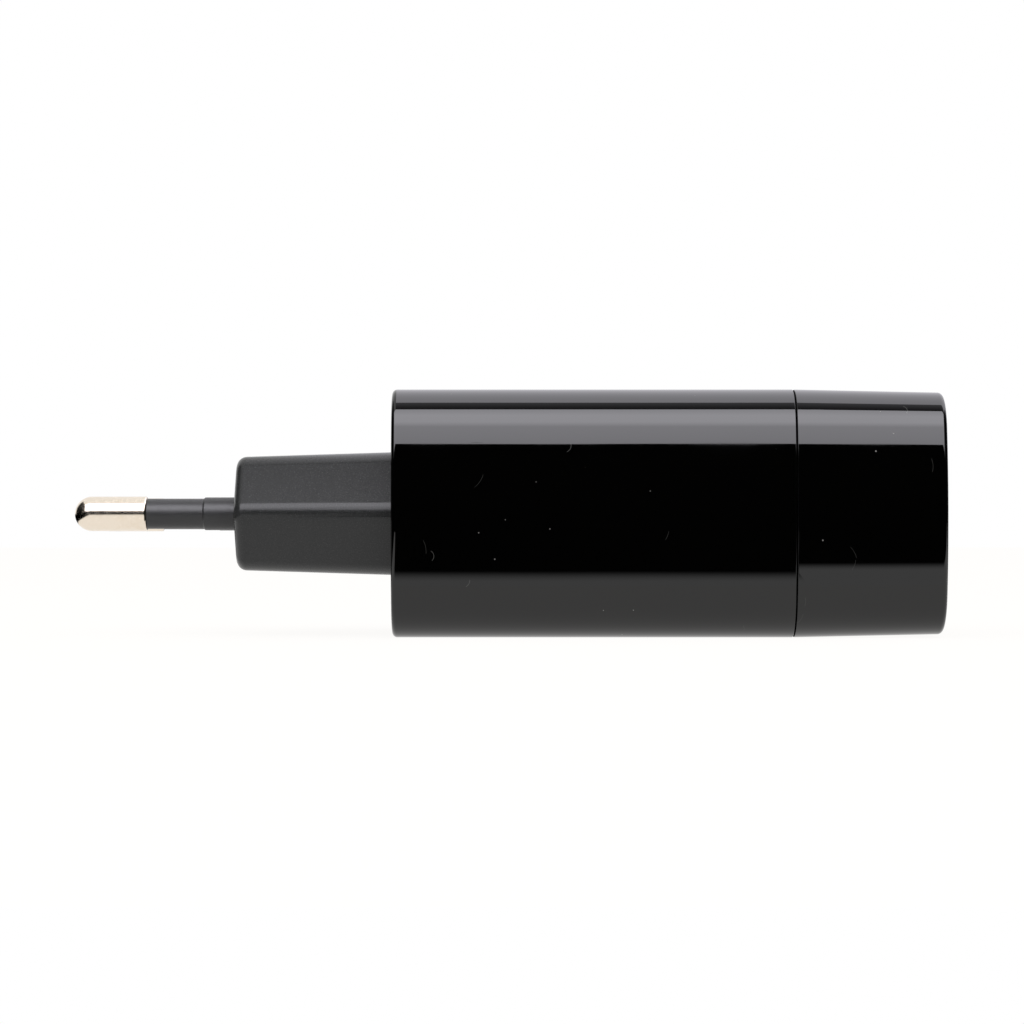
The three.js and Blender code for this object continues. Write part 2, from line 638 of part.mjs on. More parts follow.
[['live', 1], ['neutral', -1]].forEach(([pole, side]) => {
  addPiece(`${pole}_contact`, buildContact(side), 0xc9a15a, 0.3, 1);
});
addPiece('fusible_resistor', buildLyingPart(INLET_X, 1.8 - EDGE_Y, 3.4, 8, 9.4), 0x3f6e58, 0.5, 0);
addPiece('varistor', buildDisc(INLET_X, EDGE_Y - 1.8, 7.5, 3.4, 5), 0x2456a0, 0.45, 0);
addPiece('bridge_rectifier', buildPackage(BOARD_START + 4, 0, 4.8, 6.4, 2.6, 2), 0x151515, 0.5, 0);
[1, -1].forEach((side, i) => {
  addPiece(`bulk_capacitor_${i + 1}`, buildCan(BULK_X, side * 9.2, 8, 14, 3.5), 0x1b2a52, 0.35, 0);
});
addPiece('filter_inductor', buildDrum(BULK_X, 0, 7.4, 9, 4), 0x3a3a3c, 0.6, 0);
addPiece('controller_chip', buildPackage(TRANSFORMER_X, 3.4 - EDGE_Y, 9.4, 6.4, 3.3, 4), 0x151515, 0.5, 0);
addPiece('y_capacitor', buildDisc(TRANSFORMER_X, EDGE_Y - 2.4, 8, 4, 5), 0x2d5fa8, 0.4, 0);

/** The middles of parts of the given widths, spread evenly over the free width of the board. */
function spreadRow(widths) {
  const room = 2 * EDGE_Y - widths.reduce((sum, width) => sum + width, 0);
  const gap = room / (widths.length - 1);
  let edge = -EDGE_Y;
  return widths.map((width) => {
    const middle = edge + width / 2;
    edge += width + gap;
    return middle;
  });
}

const CAN_WIDTH = 6;
const CHOKE_WIDTH = 5.8;
const RECTIFIER_WIDTH = 6;
const COUPLER_WIDTH = 6.4;
const outputRow = spreadRow([COUPLER_WIDTH, RECTIFIER_WIDTH, CHOKE_WIDTH, CAN_WIDTH, CAN_WIDTH]);
const [couplerY, rectifierY, chokeY, secondCanY, firstCanY] = outputRow;
const outputCans = [firstCanY, secondCanY];
const coupler = buildPackage(OUTPUT_X, couplerY, 4.6, COUPLER_WIDTH, 3.4, 2);
const rectifier = buildPackage(OUTPUT_X, rectifierY, 5.4, RECTIFIER_WIDTH, 2.4, 1);
addPiece('optocoupler', coupler, 0xe6e4dc, 0.5, 0);
addPiece('output_rectifier', rectifier, 0x151515, 0.5, 0);
addPiece('output_choke', buildDrum(OUTPUT_X, chokeY, CHOKE_WIDTH, 7, 3), 0x3a3a3c, 0.6, 0);
outputCans.forEach((y, i) => {
  addPiece(`output_capacitor_${i + 1}`, buildCan(OUTPUT_X, y, CAN_WIDTH, 11, 2.5), 0xb4b8bc, 0.3, 0.9);
});

// ---- transformer: two E cores whose centre legs meet inside a wound bobbin, axis along Y --------

const CORE_HALF_Y = 7.4;
const CORE_HEIGHT = 13.2;
const CORE_DEPTH = 4.8;
const CORE_LEG = 2.6;
const CORE_YOKE = 2.8;
const CENTRE_LEG = 3.6;
const BOBBIN_WALL = 0.6;
const BOBBIN_FLANGE = 0.7;
const WINDING_DEPTH = 1.5;
const TAPE_THICKNESS = 0.3;
const FLANGE_OVERHANG = 0.4;
const CORE_LIFT = 1;
const CORE_Z = BOARD_TOP + CORE_LIFT + CORE_HEIGHT / 2;

/** A rectangular ring or bar about the transformer's axis. */
function ringAboutAxis(outerX, outerZ, innerX, innerZ, y0, y1) {
  const outer = block([-outerX, y0, -outerZ], [outerX, y1, outerZ]);
  return cut(outer, block([-innerX, y0 - 1, -innerZ], [innerX, y1 + 1, innerZ]));
}

function buildCore(side) {
  const halfZ = CORE_HEIGHT / 2;
  const halfX = CORE_DEPTH / 2;
  const gap = APART / 2;
  const whole = block([-halfX, gap, -halfZ], [halfX, CORE_HALF_Y, halfZ]);
  const windows = [-1, 1].map((level) => {
    const near = level * (CENTRE_LEG / 2);
    const far = level * (halfZ - CORE_LEG);
    return block(
      [-halfX - 1, gap - 1, Math.min(near, far)],
      [halfX + 1, CORE_HALF_Y - CORE_YOKE, Math.max(near, far)],
    );
  });
  const core = cut(whole, ...windows);
  return side > 0 ? core : core.rotateZ(Math.PI);
}

const BARREL_X = CORE_DEPTH / 2 + FIT + BOBBIN_WALL;
const BARREL_Z = CENTRE_LEG / 2 + FIT + BOBBIN_WALL;
const SPOOL_HALF_Y = CORE_HALF_Y - CORE_YOKE - FIT;
const WINDOW_Z = CORE_HEIGHT / 2 - CORE_LEG - FIT;

function buildBobbin() {
  const holeX = BARREL_X - BOBBIN_WALL;
  const holeZ = BARREL_Z - BOBBIN_WALL;
  const flangeX = BARREL_X + WINDING_DEPTH + TAPE_THICKNESS + FLANGE_OVERHANG;
  const barrel = ringAboutAxis(BARREL_X, BARREL_Z, holeX, holeZ, -SPOOL_HALF_Y, SPOOL_HALF_Y);
  const flanges = [-1, 1].map((side) => {
    const middle = side * (SPOOL_HALF_Y - BOBBIN_FLANGE / 2);
    const from = middle - BOBBIN_FLANGE / 2;
    return ringAboutAxis(flangeX, WINDOW_Z, holeX, holeZ, from, from + BOBBIN_FLANGE);
  });
  return join(barrel, ...flanges);
}

const COIL_HALF_Y = SPOOL_HALF_Y - BOBBIN_FLANGE - FIT;
const COIL_X = BARREL_X + FIT;
const COIL_Z = BARREL_Z + FIT;
const COIL_RISE_Z = WINDOW_Z - COIL_Z - TAPE_THICKNESS - 2 * FIT;

function buildWinding() {
  const outerX = COIL_X + WINDING_DEPTH;
  const outerZ = COIL_Z + COIL_RISE_Z;
  return ringAboutAxis(outerX, outerZ, COIL_X, COIL_Z, -COIL_HALF_Y, COIL_HALF_Y);
}

function buildTape() {
  const innerX = COIL_X + WINDING_DEPTH + FIT;
  const innerZ = COIL_Z + COIL_RISE_Z + FIT;
  const outerX = innerX + TAPE_THICKNESS;
  const outerZ = innerZ + TAPE_THICKNESS;
  return ringAboutAxis(outerX, outerZ, innerX, innerZ, -COIL_HALF_Y, COIL_HALF_Y);
}

const transformer = new THREE.Group();
transformer.position.set(TRANSFORMER_X, 0, CORE_Z);
charger.add(transformer);
addPiece('transformer_core_left', buildCore(1), 0x2b2b2d, 0.7, 0.1, transformer);
addPiece('transformer_core_right', buildCore(-1), 0x2b2b2d, 0.7, 0.1, transformer);
addPiece('transformer_bobbin', buildBobbin(), 0x1f1f21, 0.5, 0, transformer);
addPiece('transformer_winding', buildWinding(), 0xb5622b, 0.35, 0.8, transformer);
addPiece('transformer_tape', buildTape(), 0xe2c23a, 0.4, 0, transformer);

// ---- boards ------------------------------------------------------------------------------------

const HEADER_PITCH = 2.54;
const HEADER_PINS = 4;
const HEADER_Y = 10.6;
const HEADER_X = BOARD_END - 1.2;
const HEADER_Z = BOARD_TOP + 1.2;
const HEADER_BACK = 0.6;
const HEADER_FRONT = 0.9;
const HEADER_HEAD = 1;
const headerPlaces = Array.from({ length: HEADER_PINS }, (_, i) => HEADER_Y + HEADER_PITCH * (i - 1.5));

/** The bent-pin header that carries the output across to the board behind the ports. */
function buildHeader() {
  const halfY = (HEADER_PITCH * HEADER_PINS) / 2;
  const low = [HEADER_X - HEADER_BACK, HEADER_Y - halfY, BOARD_TOP + SEAT];
  const strip = block(low, [HEADER_X + HEADER_FRONT, HEADER_Y + halfY, HEADER_Z + HEADER_HEAD]);
  const tip = OUTPUT_BOARD_END + LEAD_TAIL;
  const arms = headerPlaces.map((y) => lyingRod(HEADER_X, tip, y, HEADER_Z, LEAD_DIAMETER, 6));
  return onLeads(join(strip, ...arms), headerPlaces.map((y) => [HEADER_X, y]));
}

addPiece('board_header', buildHeader(), 0x18181a, 0.5, 0.1);

function buildMainBoard() {
  const centreX = (BOARD_START + BOARD_END) / 2;
  const outline = roundedRect((BOARD_END - BOARD_START) / 2, BOARD_HALF_Y, 1);
  const board = alongZ(outline, BOARD_BOTTOM, BOARD_TOP, 1).translate(centreX, 0, 0);
  const diameter = LEAD_DIAMETER + 2 * FIT;
  return cut(board, ...boardHoles.map(([x, y]) => rod(x, y, BOARD_BOTTOM - 1, BOARD_TOP + 1, diameter, 6)));
}

function buildOutputBoard() {
  const outline = insetCavity(SLIDE_FIT + LIP_WALL + APART);
  const board = alongX(outline, OUTPUT_BOARD_START, OUTPUT_BOARD_END, 1);
  const from = OUTPUT_BOARD_START - 1;
  const to = OUTPUT_BOARD_END + 1;
  const headerHoles = headerPlaces.map((y) => lyingRod(from, to, y, HEADER_Z, LEAD_DIAMETER + 2 * FIT, 6));
  const tailZ = CONTACT_FACE + TERMINAL_RISE + TERMINAL_THICKNESS / 2;
  const slotY = TERMINAL_WIDTH / 2 + FIT;
  const slotZ = TERMINAL_THICKNESS / 2 + 2 * SLIDE_FIT;
  const tailSlots = [-1, 1].flatMap((side) => Object.values(TERMINAL_PLACES).map((y) => {
    const z = tailZ + (side * PORT_PITCH) / 2;
    return block([from, y - slotY, z - slotZ], [to, y + slotY, z + slotZ]);
  }));
  return cut(board, ...headerHoles, ...tailSlots);
}

/** The film that keeps the solder side of the board off the housing. */
function buildInsulatingSheet() {
  const low = -CAVITY_HALF_Z + SHEET_THICKNESS;
  const halfY = CAVITY_HALF_Y - CAVITY_RADIUS - SLIDE_FIT;
  const outline = roundedRect((BOARD_END - BOARD_START) / 2, halfY, 1);
  const centreX = (BOARD_START + BOARD_END) / 2;
  return alongZ(outline, low, low + SHEET_THICKNESS, 1).translate(centreX, 0, 0);
}

addPiece('main_board', buildMainBoard(), 0x2f6b3a, 0.6, 0);
addPiece('output_board', buildOutputBoard(), 0x2f6b3a, 0.6, 0);
addPiece('insulating_sheet', buildInsulatingSheet(), 0xf0efe8, 0.4, 0);

export default charger;
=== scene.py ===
"""Looks of a two-port USB wall charger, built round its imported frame.

Every piece is modelled in millimetres in the frame's axes: +X from the mains pins to the USB ports,
+Y from pin to pin and +Z across the thin side. Finished meshes are scaled to metres.
"""

import logging
import math
from collections.abc import Callable, Iterable, Sequence
from dataclasses import dataclass, field
from enum import Enum
from functools import cache

import bmesh
import bpy
from bmesh.types import BMesh, BMEdge, BMFace, BMVert
from bpy.types import Material, NodeSocket, Object
from mathutils import Matrix, Vector


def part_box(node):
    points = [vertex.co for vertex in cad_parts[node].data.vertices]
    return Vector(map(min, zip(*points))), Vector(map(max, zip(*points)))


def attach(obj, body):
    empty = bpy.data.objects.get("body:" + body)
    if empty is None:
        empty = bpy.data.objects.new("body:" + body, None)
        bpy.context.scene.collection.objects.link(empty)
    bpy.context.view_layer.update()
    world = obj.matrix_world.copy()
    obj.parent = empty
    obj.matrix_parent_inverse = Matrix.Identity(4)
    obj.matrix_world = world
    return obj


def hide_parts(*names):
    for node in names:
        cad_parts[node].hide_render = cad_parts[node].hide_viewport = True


logging.basicConfig(level=logging.INFO, format="%(message)s")
log = logging.getLogger("charger")

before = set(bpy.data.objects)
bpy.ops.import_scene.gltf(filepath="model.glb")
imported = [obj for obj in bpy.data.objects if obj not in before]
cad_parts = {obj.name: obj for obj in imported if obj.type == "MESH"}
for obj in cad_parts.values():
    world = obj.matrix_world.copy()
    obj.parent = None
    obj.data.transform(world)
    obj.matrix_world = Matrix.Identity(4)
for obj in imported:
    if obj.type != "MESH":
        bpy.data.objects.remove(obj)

MM = 0.001
MARGIN = 0.02
ALONG_X = Vector((1, 0, 0))
Colour = tuple[float, float, float]


# ---- mesh tools ----------------------------------------------------------------------------------


class Cut(Enum):
    """How two solids are combined."""

    AWAY = "DIFFERENCE"
    ONTO = "UNION"
    SHARED = "INTERSECT"


@dataclass(frozen=True)
class Span:
    """A stretch of the charger's length, in millimetres."""

    start: float
    end: float

    @property
    def length(self) -> float:
        """How long the stretch is."""
        return self.end - self.start


@dataclass(frozen=True)
class NodeBox:
    """The box of a frame node, in millimetres."""

    low: Vector
    high: Vector

    @classmethod
    @cache
    def of(cls, node: str) -> "NodeBox":
        """Reads the box of a frame node.

        Args:
            node: The node's name.

        Returns:
            Its box in millimetres.
        """
        low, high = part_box(node)
        return cls(low / MM, high / MM)

    @property
    def size(self) -> Vector:
        """The box's three sides."""
        return self.high - self.low

    @property
    def centre(self) -> Vector:
        """The box's middle."""
        return (self.high + self.low) / 2

    @property
    def length(self) -> Span:
        """The box's stretch along X."""
        return Span(self.low.x, self.high.x)


def spin_from(bm: BMesh, vert: BMVert, centre: Vector, angle: float, steps: int,
              axis: Vector = ALONG_X) -> BMVert:
    """Draws an arc of edges on from one vertex.

    Args:
        bm: The mesh being drawn.
        vert: The vertex that the arc starts at.
        centre: The arc's centre.
        angle: How far it turns, in radians, by the right-hand rule.
        steps: How many edges it has.
        axis: The axis it turns about.

    Returns:
        The arc's last vertex.
    """
    spun = bmesh.ops.spin(bm, geom=[vert], cent=centre, axis=axis, angle=angle, steps=steps)
    return next(item for item in spun["geom_last"] if isinstance(item, BMVert))


def line_to(bm: BMesh, vert: BMVert, place: Sequence[float]) -> BMVert:
    """Draws one straight edge on from a vertex.

    Args:
        bm: The mesh being drawn.
        vert: The vertex that the line starts at.
        place: Where it ends.

    Returns:
        The line's last vertex.
    """
    grown = bmesh.ops.extrude_vert_indiv(bm, verts=[vert])
    grown["verts"][0].co = place
    return grown["verts"][0]


def filled(bm: BMesh, facing: Vector) -> BMFace:
    """Fills the one closed outline in a mesh.

    Args:
        bm: The mesh that holds the outline and nothing else.
        facing: The way the face should look.

    Returns:
        The new face.
    """
    bmesh.ops.remove_doubles(bm, verts=bm.verts, dist=1e-4)
    face = bmesh.ops.contextual_create(bm, geom=bm.edges[:])["faces"][0]
    face.normal_update()
    if face.normal.dot(facing) < 0:
        face.normal_flip()
    return face


def push(bm: BMesh, faces: Sequence[BMFace], shift: Vector) -> list[BMFace]:
    """Extrudes faces of a closed mesh by one shift.

    Args:
        bm: The mesh.
        faces: The faces to extrude together.
        shift: How far they move.

    Returns:
        The faces at the far end.
    """
    grown = bmesh.ops.extrude_face_region(bm, geom=list(faces))["geom"]
    verts = [item for item in grown if isinstance(item, BMVert)]
    bmesh.ops.translate(bm, verts=verts, vec=shift)
    return [item for item in grown if isinstance(item, BMFace)]


def solid_from(bm: BMesh, face: BMFace, shift: Vector) -> BMFace:
    """Turns one flat face into a closed prism.

    Args:
        bm: The mesh, which holds only the face.
        face: The face, looking away from the shift.
        shift: Where the far end goes.

    Returns:
        The face at the far end.
    """
    grown = bmesh.ops.extrude_face_region(bm, geom=[face], use_keep_orig=True)["geom"]
    verts = [item for item in grown if isinstance(item, BMVert)]
    bmesh.ops.translate(bm, verts=verts, vec=shift)
    bmesh.ops.recalc_face_normals(bm, faces=bm.faces)
    return next(item for item in grown if isinstance(item, BMFace))


def round_edges(bm: BMesh, edges: Iterable[BMEdge], radius: float, segments: int = 4) -> None:
    """Rounds edges that all turn by the same angle.

    Args:
        bm: The mesh.
        edges: The edges to round.
        radius: The radius of the rounding.
        segments: How many strips it has.
    """
    chosen = list(edges)
    reach = radius * math.tan(chosen[0].calc_face_angle() / 2)
    bmesh.ops.bevel(bm, geom=chosen, offset=reach, offset_type="OFFSET", segments=segments,
                    profile=0.5, affect="EDGES", material=-1, clamp_overlap=True)


def moved(bm: BMesh, shift: Sequence[float]) -> BMesh:
    """Moves a whole mesh."""
    bmesh.ops.translate(bm, verts=bm.verts, vec=shift)
    return bm


def unfold(bm: BMesh) -> None:
    """Mirrors a quarter outline into a whole one, across Y and then Z."""
    for axis in ("Y", "Z"):
        whole = bm.verts[:] + bm.edges[:]
        bmesh.ops.mirror(bm, geom=whole, matrix=Matrix(), merge_dist=1e-4, axis=axis)


def swept(bm: BMesh, edges: Sequence[BMEdge], shift: Sequence[float]) -> None:
    """Draws edges out into faces by one shift."""
    grown = bmesh.ops.extrude_edge_only(bm, edges=edges)["geom"]
    far = [item for item in grown if isinstance(item, BMVert)]
    bmesh.ops.translate(bm, verts=far, vec=shift)


def pour(part: BMesh, whole: BMesh) -> None:
    """Adds one mesh to another and uses it up."""
    scratch = bpy.data.meshes.new("scratch")
    part.to_mesh(scratch)
    part.free()
    whole.from_mesh(scratch)
    bpy.data.meshes.remove(scratch)


def card(bm: BMesh, width: float, depth: float) -> list[BMVert]:
    """Adds a flat rectangle about the origin and gives its corners."""
    corners = bmesh.ops.create_grid(bm, x_segments=1, y_segments=1, size=0.5)["verts"]
    bmesh.ops.scale(bm, verts=corners, vec=(width, depth, 1))
    return corners


def end_face(bm: BMesh, way: Vector) -> BMFace:
    """The largest face that looks squarely one way."""
    bm.normal_update()
    return max((f for f in bm.faces if f.normal.dot(way) > 0.999), key=lambda f: f.calc_area())


def number_faces(bm: BMesh, chosen: Callable[[Vector], bool], number: int = 1) -> None:
    """Gives the faces at chosen places another of the piece's finishes.

    Args:
        bm: The mesh.
        chosen: Says from a face's middle whether it is meant.
        number: The finish's place among the piece's finishes.
    """
    for face in bm.faces:
        if chosen(face.calc_center_median()):
            face.material_index = number


def edges_at(bm: BMesh, x: float, near: float = 1e-3) -> list[BMEdge]:
    """The edges that lie in the plane at one X.

    Args:
        bm: The mesh.
        x: The plane's place.
        near: How close counts as in it.

    Returns:
        The edges whose both ends are in the plane.
    """
    return [e for e in bm.edges if all(abs(v.co.x - x) < near for v in e.verts)]


def box_solid(low: Sequence[float], high: Sequence[float], rounding: float = 0.0,
              segments: int = 2) -> BMesh:
    """A box between two corners, its edges rounded if asked.

    Args:
        low: The lowest corner.
        high: The highest corner.
        rounding: The edge radius.
        segments: How many strips the rounding has.

    Returns:
        The box as a mesh.
    """
    bm = bmesh.new()
    low_corner, high_corner = Vector(low), Vector(high)
    bmesh.ops.create_cube(bm, size=1.0)
    bmesh.ops.scale(bm, vec=high_corner - low_corner, verts=bm.verts)
    bmesh.ops.translate(bm, vec=(low_corner + high_corner) / 2, verts=bm.verts)
    if rounding:
        round_edges(bm, bm.edges, rounding, segments)
    return bm


def plate_outline(bm: BMesh, x: float, half_y: float, half_z: float, radius: float,
                  steps: int = 6) -> BMFace:
    """A rounded rectangle in the plane at one X, looking along -X.

    Args:
        bm: An empty mesh.
        x: The plane's place.
        half_y: Half its width.
        half_z: Half its height.
        radius: Its corner radius.
        steps: How many edges each corner has.

    Returns:
        The outline's face.
    """
    vert = bmesh.ops.create_vert(bm, co=(x, half_y, 0))["vert"][0]
    vert = line_to(bm, vert, (x, half_y, half_z - radius))
    vert = spin_from(bm, vert, Vector((x, half_y - radius, half_z - radius)), math.pi / 2, steps)
    line_to(bm, vert, (x, 0, half_z))
    unfold(bm)
    return filled(bm, -ALONG_X)


def plate_prism(span: Span, half_y: float, half_z: float, radius: float, steps: int = 6) -> BMesh:
    """A rounded-rectangle bar along X.

    Args:
        span: Its stretch along X.
        half_y: Half its width.
        half_z: Half its height.
        radius: Its corner radius.
        steps: How many edges each corner has.

    Returns:
        The bar as a mesh.
    """
    bm = bmesh.new()
    face = plate_outline(bm, span.start, half_y, half_z, radius, steps)
    solid_from(bm, face, ALONG_X * span.length)
    return bm


def lathed(profile: Callable[[BMesh], None], steps: int = 64) -> BMesh:
    """Turns a profile once round the X axis.

    Args:
        profile: Draws the profile in the XY half plane with Y above zero.
        steps: How many strips the turn has.

    Returns:
        The turned solid.
    """
    bm = bmesh.new()
    profile(bm)
    bmesh.ops.spin(bm, geom=bm.verts[:] + bm.edges[:], cent=(0, 0, 0), axis=ALONG_X,
                   angle=math.tau, steps=steps, use_merge=True)
    bmesh.ops.remove_doubles(bm, verts=bm.verts, dist=1e-4)
    bmesh.ops.recalc_face_normals(bm, faces=bm.faces)
    return bm


def merged(parts: Iterable[BMesh]) -> BMesh:
    """Puts several meshes into one without joining their surfaces.

    Args:
        parts: The meshes, which are used up.

    Returns:
        One mesh that holds them all.
    """
    whole = bmesh.new()
    for part in parts:
        pour(part, whole)
    return whole


def combined(body: BMesh, tools: Sequence[BMesh], how: Cut) -> BMesh:
    """Cuts tools away from a body, joins them onto it or keeps what they share.

    Args:
        body: The body, which is used up.
        tools: The tools, which are used up.
        how: What to do with them.

    Returns:
        The result.
    """
    objects = []
    for bm in (body, *tools):
        mesh = bpy.data.meshes.new("scratch")
        bm.to_mesh(mesh)
        bm.free()
        obj = bpy.data.objects.new("scratch", mesh)
        bpy.context.scene.collection.objects.link(obj)
        objects.append(obj)
    for tool in objects[1:]:
        modifier = objects[0].modifiers.new("cut", "BOOLEAN")
        modifier.object = tool
        modifier.operation = how.value
        modifier.solver = "EXACT"
    bpy.context.view_layer.update()
    result = bmesh.new()
    graph = bpy.context.evaluated_depsgraph_get()
    result.from_mesh(objects[0].evaluated_get(graph).data)
    for obj in objects:
        mesh = obj.data
        bpy.data.objects.remove(obj)
        bpy.data.meshes.remove(mesh)
    return result


def finished(name: str, bm: BMesh, materials: Sequence[Material], sharp: float = 35.0,
             even: bool = False) -> Object:
    """Makes a finished object of a mesh drawn in millimetres.

    Args:
        name: The piece's name.
        bm: The mesh, which is used up.
        materials: Its finishes, in the order of its faces' material numbers.
        sharp: Edges that turn more than this many degrees stay sharp.
        even: Whether large flat faces should keep the shading to themselves.

    Returns:
        The object, in metres, at the origin.
    """
    bm.transform(Matrix.Scale(MM, 4))
    mesh = bpy.data.meshes.new(name)
    bm.to_mesh(mesh)
    bm.free()
    for material in materials:
        mesh.materials.append(material)
    mesh.shade_smooth()
    mesh.set_sharp_from_angle(angle=math.radians(sharp))
    piece = bpy.data.objects.new(name, mesh)
    bpy.context.scene.collection.objects.link(piece)
    if even:
        modifier = piece.modifiers.new("even shading", "WEIGHTED_NORMAL")
        modifier.keep_sharp = True
        modifier.weight = 80
    log.info("%s: %d faces", name, len(mesh.polygons))
    return piece


# ---- finishes ------------------------------------------------------------------------------------


class NodeBench:
    """Places and wires the shader nodes of one material."""

    def __init__(self, name: str) -> None:
        """Starts a material that holds only its shader.

        Args:
            name: The material's name.
        """
        self.material = bpy.data.materials.new(name)
        self.material.use_nodes = True
        self.tree = self.material.node_tree
        self.shader = next(n for n in self.tree.nodes if n.type == "BSDF_PRINCIPLED")
        self.coords = self.tree.nodes.new("ShaderNodeTexCoord").outputs["Object"]

    def set(self, **values: float | tuple) -> None:
        """Sets the shader's own sockets by their names, with _ for a space."""
        for key, value in values.items():
            self.shader.inputs[key.replace("_", " ")].default_value = value

    def feed(self, socket: str, source: NodeSocket) -> None:
        """Wires a pattern into one of the shader's sockets."""
        self.tree.links.new(source, self.shader.inputs[socket])

    def mapped(self, stretch: Sequence[float] = (1, 1, 1), turn: Sequence[float] = (0, 0, 0),
               shift: Sequence[float] = (0, 0, 0)) -> NodeSocket:
        """Object coordinates, stretched, turned and moved."""
        node = self.tree.nodes.new("ShaderNodeMapping")
        node.inputs["Scale"].default_value = stretch
        node.inputs["Rotation"].default_value = turn
        node.inputs["Location"].default_value = shift
        self.tree.links.new(self.coords, node.inputs["Vector"])
        return node.outputs["Vector"]

    def noise(self, size_mm: float, detail: float = 3.0, roughness: float = 0.5,
              vector: NodeSocket | None = None) -> NodeSocket:
        """A soft noise pattern.

        Args:
            size_mm: The size of its largest blobs.
            detail: How many finer layers it has.
            roughness: How strong the finer layers are.
            vector: Where it is read, if not at the plain coordinates.

        Returns:
            The pattern, from 0 to 1.
        """
        node = self.tree.nodes.new("ShaderNodeTexNoise")
        node.inputs["Scale"].default_value = 1 / (size_mm * MM)
        node.inputs["Detail"].default_value = detail
        node.inputs["Roughness"].default_value = roughness
        self.tree.links.new(vector or self.coords, node.inputs["Vector"])
        return node.outputs["Fac"]

    def cells(self, size_mm: float, output: str = "Distance", feature: str = "F1",
              vector: NodeSocket | None = None, spread: float = 1.0) -> NodeSocket:
        """A pattern of cells about scattered points.

        Args:
            size_mm: The distance from point to point.
            output: Which of the pattern's values is wanted.
            feature: Which distance it measures.
            vector: Where it is read, if not at the plain coordinates.
            spread: How unevenly the points lie.

        Returns:
            The pattern.
        """
        node = self.tree.nodes.new("ShaderNodeTexVoronoi")
        node.feature = feature
        node.inputs["Scale"].default_value = 1 / (size_mm * MM)
        node.inputs["Randomness"].default_value = spread
        self.tree.links.new(vector or self.coords, node.inputs["Vector"])
        return node.outputs[output]

    def bands(self, size_mm: float, axis: str = "X", distortion: float = 0.0,
              vector: NodeSocket | None = None) -> NodeSocket:
        """Parallel sine bands across one axis, from 0 to 1."""
        node = self.tree.nodes.new("ShaderNodeTexWave")
        node.bands_direction = axis
        node.inputs["Scale"].default_value = 0.314 / (size_mm * MM)
        node.inputs["Distortion"].default_value = distortion
        self.tree.links.new(vector or self.coords, node.inputs["Vector"])
        return node.outputs["Fac"]

    def between(self, source: NodeSocket, low: float, high: float, to_low: float = 0.0,
                to_high: float = 1.0) -> NodeSocket:
        """Maps one range of a pattern onto another, and clamps it."""
        node = self.tree.nodes.new("ShaderNodeMapRange")
        values = {"From Min": low, "From Max": high, "To Min": to_low, "To Max": to_high}
        for key, value in values.items():
            node.inputs[key].default_value = value
        self.tree.links.new(source, node.inputs["Value"])
        return node.outputs["Result"]

    def maths(self, kind: str, *values: NodeSocket | float) -> NodeSocket:
        """One sum on patterns and numbers."""
        node = self.tree.nodes.new("ShaderNodeMath")
        node.operation = kind
        for value, socket in zip(values, node.inputs):
            if isinstance(value, NodeSocket):
                self.tree.links.new(value, socket)
            else:
                socket.default_value = value
        return node.outputs[0]

    def vectors(self, kind: str, *values: NodeSocket, scale: float = 1.0) -> NodeSocket:
        """One sum on vectors, which gives a vector, or a number for a length or a distance."""
        node = self.tree.nodes.new("ShaderNodeVectorMath")
        node.operation = kind
        if kind == "SCALE":
            node.inputs["Scale"].default_value = scale
        for value, socket in zip(values, node.inputs):
            self.tree.links.new(value, socket)
        return node.outputs["Value" if kind in ("LENGTH", "DISTANCE") else "Vector"]

    def fibres(self, pitch_mm: float, reach_mm: float, curl_mm: float, width_mm: float,
               share: float, seed: float = 0.0) -> NodeSocket:
        """Short curved fibres lying about at random.

        Args:
            pitch_mm: The distance between the places that a fibre may lie at.
            reach_mm: Half a fibre's length.
            curl_mm: The radius that it is curled to.
            width_mm: Half its width.
            share: How many of the places hold one, from 0 to 1.
            seed: Shifts the whole pattern.

        Returns:
            One on a fibre and zero elsewhere.
        """
        here = self.mapped(shift=(seed, seed, seed))
        node = self.tree.nodes.new("ShaderNodeTexVoronoi")
        node.inputs["Scale"].default_value = 1 / (pitch_mm * MM)
        self.tree.links.new(here, node.inputs["Vector"])
        middle, chance = node.outputs["Position"], node.outputs["Color"]
        split = self.tree.nodes.new("ShaderNodeSeparateXYZ")
        self.tree.links.new(chance, split.inputs[0])
        shift = self.tree.nodes.new("ShaderNodeVectorMath")
        shift.inputs[1].default_value = (0.5, 0.5, 0.5)
        shift.operation = "SUBTRACT"
        self.tree.links.new(chance, shift.inputs[0])
        way = self.vectors("NORMALIZE", shift.outputs["Vector"])
        curl = self.vectors("ADD", middle, self.vectors("SCALE", way, scale=curl_mm * MM))
        off = self.maths("SUBTRACT", self.vectors("DISTANCE", here, curl), curl_mm * MM)
        thin = self.maths("LESS_THAN", self.maths("ABSOLUTE", off), width_mm * MM)
        near = self.maths("LESS_THAN", self.vectors("DISTANCE", here, middle), reach_mm * MM)
        chosen = self.maths("LESS_THAN", split.outputs["X"], share)
        return self.maths("MULTIPLY", self.maths("MULTIPLY", thin, near), chosen)

    def blend(self, factor: NodeSocket, first: NodeSocket | Colour,
              second: NodeSocket | Colour) -> NodeSocket:
        """Goes from one colour to another as a pattern goes from 0 to 1."""
        node = self.tree.nodes.new("ShaderNodeMix")
        node.data_type = "RGBA"
        self.tree.links.new(factor, node.inputs["Factor"])
        for slot, value in ((6, first), (7, second)):
            if isinstance(value, NodeSocket):
                self.tree.links.new(value, node.inputs[slot])
            else:
                node.inputs[slot].default_value = (*value, 1)
        return node.outputs[2]

